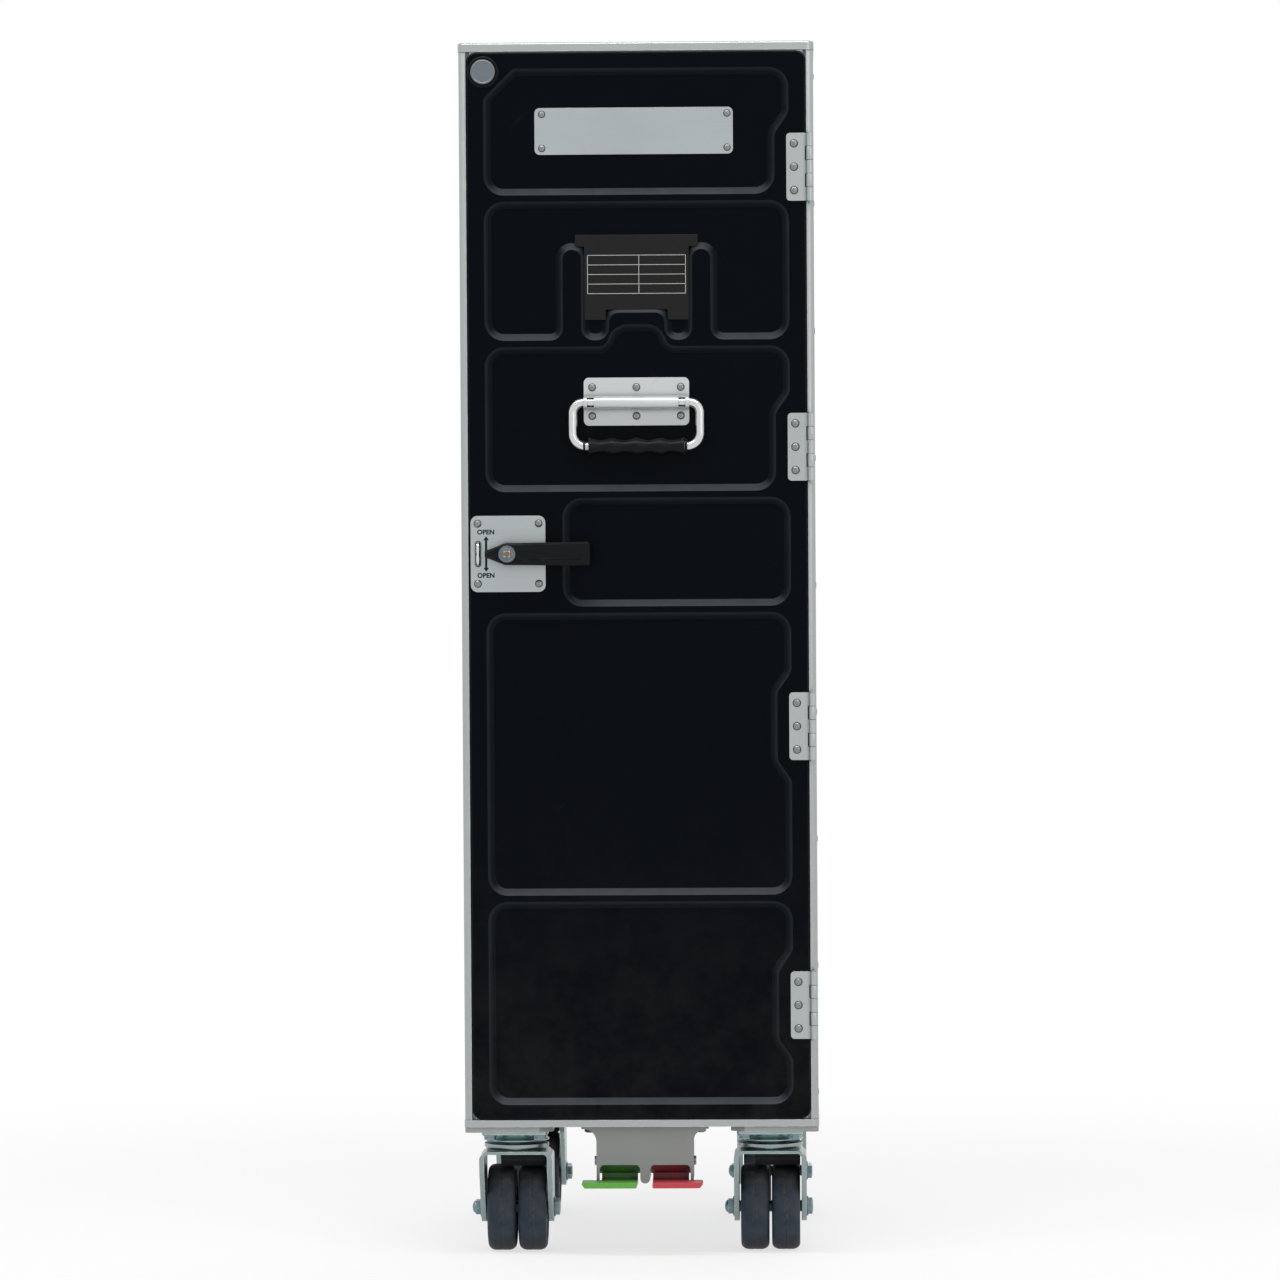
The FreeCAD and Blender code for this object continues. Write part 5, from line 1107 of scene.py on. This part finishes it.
class CART_OT_bail_collars(bpy.types.Operator):
    """Put the rubber ring and the end collars on the bail's lower bar"""
    bl_idname = "cart.bail_collars"
    bl_label = "Bail Collars"

    def execute(self, context):
        grip = centre("bail_grip")
        left, right = low("bail_grip").x, high("bail_grip").x
        rod, seam = 4.02, 0.0005
        bm = bmesh.new()
        ring = [(left - 4.6, rod), (left - 4.6, 5.1), (left - 4.2, 5.6), (left - 3.4, 5.6),
                (left - 3.0, 5.1), (left - 3.0, rod)]
        collar = [(right + 0.3, rod), (right + 0.3, 6.2), (right + 0.8, 6.7), (right + 2.0, 6.7),
                  (right + 2.5, 6.2), (right + 2.5, rod)]
        for profile in (ring, collar):
            lathe(bm, "x", profile + [profile[0]], 40, (0, grip.y, grip.z))
        bmesh.ops.remove_doubles(bm, verts=bm.verts, dist=seam)
        put("bail_collars", bm, "bail", "black_grip")
        return {"FINISHED"}


class CART_OT_hub_button(bpy.types.Operator):
    """Build the stepped disc in the lever's hub with its bronze centre"""
    bl_idname = "cart.hub_button"
    bl_label = "Hub Button"

    def execute(self, context):
        hub_radius = 7.5
        spindle = "latch_spindle"
        hub = Vector((low(spindle).x + hub_radius, low("latch_lever").y, centre(spindle).z))
        bm = bmesh.new()
        profile = [(1.4, 7.4), (0.5, 7.4), (0.25, 7.15), (0.25, 6.2), (0.55, 5.9), (0.55, 4.9),
                   (0.3, 4.6), (0.3, 3.4), (0.75, 3.1), (0.75, 0)]
        lathe(bm, "y", profile, 64, hub)
        put("hub_disc", bm, "latch", "magnet_face")
        bm = bmesh.new()
        lathe(bm, "y", [(1.0, 2.7), (0.15, 2.7), (-0.05, 2.45), (-0.1, 0)], 40, hub)
        put("hub_centre", bm, "latch", "bronze")
        bm = bmesh.new()
        back, axis = high("latch_tongue").y, (hub.x, 0, hub.z)
        prism(bm, "y", regular(6, 7.0), back - 0.1, back + 4.6, axis)
        washer = [(-0.1, 9.0), (1.0, 9.0), (1.2, 8.6), (1.2, 0)]
        lathe(bm, "y", [(back + a, radius) for a, radius in washer], 36, axis)
        nut = put("spindle_nut", bm, "latch", "fastener")
        add_bevel(nut, 0.3 * MM)
        return {"FINISHED"}


# ---------------------------------------------------------------- casters

class CART_OT_axles(bpy.types.Operator):
    """Build the wheel bolts: hexagon head on the right, washers and domed nut on the left"""
    bl_idname = "cart.axles"
    bl_label = "Axles"

    def execute(self, context):
        lower, upper = low("caster_axle_front_left"), high("caster_axle_front_left")
        half = (upper.x - lower.x) / 2 - 2.8
        bm = bmesh.new()
        lathe(bm, "x", [(-half - 1.0, 0), (-half - 1.0, 4.95), (half + 1.0, 4.95), (half + 1.0, 0)], 40)
        for side in (-1, 1):
            profile = [(0, 8.6), (1.0, 8.6), (1.3, 8.2), (1.3, 0)]
            lathe(bm, "x", [(side * (half + a), r) for a, r in profile], 40)
        prism(bm, "x", regular(6, 7.2, 0.35), half + 1.2, half + 4.9)
        lathe(bm, "x", [(half + 4.8, 6.1), (half + 5.4, 4.6), (half + 5.4, 0)], 36)
        prism(bm, "x", regular(6, 7.0, 0.1), -half - 1.2, -half - 5.4)
        dome, steps = [(-half - 5.3, 5.9)], 7
        for step in range(steps):
            angle = math.pi / 2 * step / steps
            dome.append((-half - 5.3 - 3.2 * math.sin(angle), 5.6 * math.cos(angle)))
        lathe(bm, "x", dome + [(-half - 8.5, 0)], 36)
        mesh = to_mesh("axle", bm)
        for corner in CORNERS:
            place = centre("caster_axle_" + corner)
            item = put("axle_" + corner, mesh, "caster_" + corner, "blue_zinc", place)
            add_bevel(item, 0.25 * MM)
            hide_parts("caster_axle_" + corner)
        return {"FINISHED"}


class CART_OT_swivels(bpy.types.Operator):
    """Build the caster plates with the fixed cup of the ball race and the kingpin"""
    bl_idname = "cart.swivels"
    bl_label = "Swivels"

    def execute(self, context):
        top = high("caster_plate_front_left").z
        bm = bmesh.new()
        prism(bm, "z", block_outline(28.5, 43.0, 5.0), top - CASTER_SHEET, top)
        cup = [(3.0, 0), (3.0, 24.0), (4.6, 24.8), (6.2, 24.8), (7.6, 25.4), (9.0, 27.2), (9.9, 28.2),
               (10.7, 28.2), (11.2, 27.6), (11.2, 24.5), (10.0, 22.5), (10.0, 0)]
        lathe(bm, "z", [(top - depth, radius) for depth, radius in cup], 72)
        pin, foot, radius, chamfer = top - 9.0, top - 25.0, 6.0, 0.6
        lathe(bm, "z", [(pin, 0), (pin, radius), (foot + chamfer, radius), (foot, radius - chamfer),
                        (foot, 0)], 36)
        mesh = to_mesh("swivel", bm)
        for corner in CORNERS:
            node = "caster_plate_" + corner
            item = put("swivel_" + corner, mesh, "cabinet", "zinc_with_painted_bands",
                       (centre(node).x, centre(node).y, 0))
            soften(item, 0.3 * MM)
            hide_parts(node)
        return {"FINISHED"}


# The legs' outer skin moves out, the crown moves up, and what lies over it closes up by a share.
LEG_SKIN, LEG_SPREAD = 0.8, 1.7
LEG_TOP, CROWN_LEVEL = 88.0, 84.0
CROWN_RISE, CROWN_SQUASH = 6.6, 0.30


class CART_OT_forks(bpy.types.Operator):
    """Build the caster forks with their rolled legs, and the brake block under the crown"""
    bl_idname = "cart.forks"
    bl_label = "Forks"

    def execute(self, context):
        for corner in CORNERS:
            node = "caster_fork_" + corner
            middle = centre(node).x
            half = (high(node).x - low(node).x) / 2
            bm = copy_of(node)
            for vert in bm.verts:
                aside = vert.co.x - middle
                if abs(aside) > half - LEG_SKIN:
                    vert.co.x += math.copysign(LEG_SPREAD, aside) * ramp(LEG_TOP - vert.co.z, 2.0, 12.0)
                squash = CROWN_SQUASH * max(0.0, vert.co.z - CROWN_LEVEL)
                vert.co.z += CROWN_RISE * ramp(vert.co.z, 50.0, 78.0) - squash
            item = put("fork_" + corner, bm, "caster_" + corner, "zinc_steel")
            soften(item, context.scene.cart_finish.edge_bevel)
            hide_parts(node)
            front = centre("caster_axle_" + corner).y - 40.0
            bm = bmesh.new()
            prism(bm, "x", [(front, 87.2), (front, 82.0), (front + 9.0, 76.4), (front + 44.0, 76.4),
                            (front + 48.0, 79.0), (front + 48.0, 87.2)], middle - 13.0, middle + 26.0)
            block = put("brake_block_" + corner, bm, "caster_" + corner, "brake_block")
            add_bevel(block, 1.2 * MM, 3)
        return {"FINISHED"}


# How far a sheet is drawn down: the drop, where it starts against the shaft, and over what height.
DROPS = {"pedal_bracket": ((3.2, 16.0, 14.0), (2.2, -1.0, 10.0))}
PEDAL_DROPS = ((3.6, 8.0, 16.0),)


class CART_OT_pedals(bpy.types.Operator):
    """Build the bracket under the cabinet and its two pedals"""
    bl_idname = "cart.pedals"
    bl_label = "Pedals"

    def execute(self, context):
        shaft = centre("pedal_shaft").z
        for node, body, finish in (
                ("pedal_bracket", "cabinet", "base_plate"),
                ("release_pedal", "release", "release_green"),
                ("brake_pedal", "brake", "brake_red")):
            bm = copy_of(node)
            for vert in bm.verts:
                for drop, start, span in DROPS.get(node, PEDAL_DROPS):
                    vert.co.z -= drop * ramp(shaft + start - vert.co.z, 0.0, span)
            item = put(node + "_sheet", bm, body, finish)
            soften(item, context.scene.cart_finish.edge_bevel)
            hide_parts(node)
        return {"FINISHED"}


WHEEL_SEGMENTS = 96
RIM_RIBS = 10
AXLE_BORE = 5.1


def tyre_mesh(radius, half):
    """A tyre with rounded shoulders, a faint parting line and a lip at the rim."""
    bm = bmesh.new()
    side = []
    steps, reach, depth, groove = 8, 7.0, 5.5, 0.25
    for step in range(steps + 1):
        angle = math.pi / 2 * step / steps
        side.append((half - reach + reach * math.sin(angle), radius - depth + depth * math.cos(angle)))
    wall = [(half, radius - 7.5), (half - 0.4, radius - 9.2), (half - 1.3, radius - 9.6),
            (half - 1.3, radius - 10.4)]
    right = [(0.35, radius), (half * 0.25, radius)] + side + wall
    left = [(-a, r) for a, r in reversed(right)]
    lathe(bm, "x", left + [(-0.2, radius - groove), (0.2, radius - groove)] + right, WHEEL_SEGMENTS)
    return to_mesh("tyre", bm, SOFT_LIMIT)


def hub_mesh(radius, half):
    """A moulded rim with a bearing boss and ribs on both faces."""
    bm = bmesh.new()
    face = [(half - 1.3, radius - 9.9), (half - 1.3, radius - 11.6), (half - 1.9, radius - 12.2),
            (half - 3.6, radius - 13.0), (half - 3.6, 13.4), (half - 1.4, 12.6), (half - 0.5, 12.2),
            (half - 0.5, 9.2), (half - 1.1, 8.8), (half - 1.1, AXLE_BORE)]
    lathe(bm, "x", [(-a, r) for a, r in reversed(face)] + face, WHEEL_SEGMENTS)
    for side in (-1, 1):
        for number in range(RIM_RIBS):
            turn = Matrix.Rotation(math.tau * number / RIM_RIBS, 4, "X")
            start = len(bm.verts)
            prism(bm, "x", [(-0.9, 12.0), (0.9, 12.0), (0.75, radius - 12.2), (-0.75, radius - 12.2)],
                  side * (half - 4.0), side * (half - 1.6))
            bm.verts.ensure_lookup_table()
            bmesh.ops.transform(bm, matrix=turn, verts=bm.verts[start:])
    return to_mesh("caster_rim", bm)


class CART_OT_wheels(bpy.types.Operator):
    """Build each caster wheel as a tyre on a ribbed rim"""
    bl_idname = "cart.wheels"
    bl_label = "Wheels"

    def execute(self, context):
        first = "wheel_front_left_inner"
        radius = (high(first).z - low(first).z) / 2
        half = (high(first).x - low(first).x) / 2
        tyre = tyre_mesh(radius, half)
        rim = hub_mesh(radius, half)
        for corner in CORNERS:
            for side in SIDES:
                wheel = "_{}_{}".format(corner, side)
                node = "wheel" + wheel
                body, place = node + "_body", centre(node)
                outside = put("tyre" + wheel, tyre, body, "caster_tyre", place)
                put("rim" + wheel, rim, body, "caster_hub", place)
                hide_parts(node)
        return {"FINISHED"}


# ---------------------------------------------------------------- stage

def backdrop_nodes(net):
    """Pale floor that turns to plain white away from the cart, and keeps its shadow."""
    place = net.node("ShaderNodeNewGeometry").outputs["Position"]
    away = net.node("ShaderNodeVectorMath", {0: place}, operation="LENGTH").outputs["Value"]
    grown = net.times(net.step(away, WHITE_FROM, WHITE_TO), 1.0 - WHITE_BY_CART)
    share = net.add(grown, WHITE_BY_CART)
    seen = net.times(share, seen_rays(net), clamp=True)
    pale = net.node("ShaderNodeBsdfDiffuse", {"Color": (0.93, 0.93, 0.93, 1.0)})
    white = net.node("ShaderNodeEmission", {"Color": (1.0, 1.0, 1.0, 1.0), "Strength": 1.0})
    both = net.node("ShaderNodeMixShader", {0: seen, 1: pale.outputs[0], 2: white.outputs[0]})
    net.node("ShaderNodeOutputMaterial", {"Surface": both.outputs[0]})


def facing(place, aim):
    """The turn of a lamp or camera that looks from a place at its aim."""
    return (Vector(aim) - Vector(place)).to_track_quat("-Z", "Y")


def seen_rays(net):
    """One for rays from the camera and for what metal and glass show."""
    path = net.node("ShaderNodeLightPath").outputs
    mirrored = net.math("MAXIMUM", path["Is Glossy Ray"], path["Is Transmission Ray"])
    return net.math("MAXIMUM", path["Is Camera Ray"], mirrored)


CAMERA_PLACE = (0.138, -5.59, 0.654)
CAMERA_AIM = (0.0010, -0.19, 0.5328)
FLOOR_HALF = 30000
# The floor's share of plain white by the cart, and the distances between which it grows to one.
WHITE_BY_CART = 0.68
WHITE_FROM, WHITE_TO = 0.55, 1.5
LAMPS = (
    # name, place, aim, size and share of the key lamp's power
    ("key", (-0.15, -1.35, 2.75), (0, -0.15, 0.6), (3.2, 0.2), 1.25),
    ("front", (1.7, -3.4, 1.3), (0, 0, 0.5), (1.4, 1.4), 0.2),
    ("rear", (0.6, 2.4, 2.5), (0, 0, 0.6), (1.4, 1.4), 0.4),
)


class CART_OT_stage(bpy.types.Operator):
    """Set up the floor, the soft light and the camera"""
    bl_idname = "cart.stage"
    bl_label = "Stage"

    def execute(self, context):
        stage = context.scene.cart_stage
        scene = context.scene
        world = bpy.data.worlds.new("Studio")
        scene.world = world
        world.use_nodes = True
        world.node_tree.nodes.clear()
        net = Net(world.node_tree)
        strength = net.add(net.times(seen_rays(net), net.rest(stage.fill)), stage.fill)
        sky = net.node("ShaderNodeBackground", {"Color": (1.0, 1.0, 1.0, 1.0), "Strength": strength})
        net.node("ShaderNodeOutputWorld", {"Surface": sky.outputs[0]})

        bm = bmesh.new()
        bmesh.ops.create_grid(bm, x_segments=24, y_segments=24, size=FLOOR_HALF)
        floor = bpy.data.objects.new("floor", to_mesh("floor", bm))
        scene.collection.objects.link(floor)
        material = bpy.data.materials.new("studio_floor")
        material.use_nodes = True
        material.node_tree.nodes.clear()
        backdrop_nodes(Net(material.node_tree))
        floor.data.materials.append(material)

        for name, place, aim, size, share in LAMPS:
            lamp = bpy.data.lights.new(name, "AREA")
            lamp.shape = "RECTANGLE"
            lamp.size, lamp.size_y = size
            lamp.energy = stage.key * share
            item = bpy.data.objects.new(name, lamp)
            item.location = place
            item.rotation_euler = facing(place, aim).to_euler()
            scene.collection.objects.link(item)

        camera = bpy.data.cameras.new("view")
        camera.lens = stage.lens
        camera.sensor_width = 36.0
        camera.clip_end = 100.0
        view = bpy.data.objects.new("view", camera)
        look = facing(CAMERA_PLACE, CAMERA_AIM).to_matrix().to_4x4()
        view.matrix_world = (
            Matrix.Translation(CAMERA_PLACE) @ look @ Matrix.Rotation(stage.roll, 4, "Z"))
        scene.collection.objects.link(view)
        scene.camera = view
        scene.view_settings.view_transform = "Standard"
        return {"FINISHED"}


# ---------------------------------------------------------------- panel and start

STEPS = (
    CART_OT_finishes, CART_OT_door_skin, CART_OT_hinges, CART_OT_magnet, CART_OT_screws, CART_OT_rivets,
    CART_OT_bolts, CART_OT_latch_marks, CART_OT_card_ruling, CART_OT_staple, CART_OT_bail_collars,
    CART_OT_hub_button, CART_OT_axles, CART_OT_swivels, CART_OT_forks, CART_OT_pedals, CART_OT_wheels,
    CART_OT_stage,
)


class CART_PT_sidebar(bpy.types.Panel):
    """Sizes, colours and steps of the cart"""
    bl_label = "Galley Cart"
    bl_idname = "CART_PT_sidebar"
    bl_space_type = "VIEW_3D"
    bl_region_type = "UI"
    bl_category = "Cart"

    def draw(self, context):
        for key, group in SETTINGS.items():
            box = self.layout.box()
            for name in group.__annotations__:
                box.prop(getattr(context.scene, key), name)
        for step in STEPS:
            self.layout.operator(step.bl_idname)


def register():
    """Adds the settings, the steps and the panel."""
    for key, group in SETTINGS.items():
        bpy.utils.register_class(group)
        setattr(bpy.types.Scene, key, bpy.props.PointerProperty(type=group))
    for step in STEPS + (CART_PT_sidebar,):
        bpy.utils.register_class(step)


def unregister():
    """Takes them away again."""
    for step in reversed(STEPS + (CART_PT_sidebar,)):
        bpy.utils.unregister_class(step)
    for key, group in SETTINGS.items():
        delattr(bpy.types.Scene, key)
        bpy.utils.unregister_class(group)


def main():
    """Runs every step in order."""
    register()
    for step in STEPS:
        family, name = step.bl_idname.split(".")
        getattr(getattr(bpy.ops, family), name)()


if __name__ == "__main__":
    main()
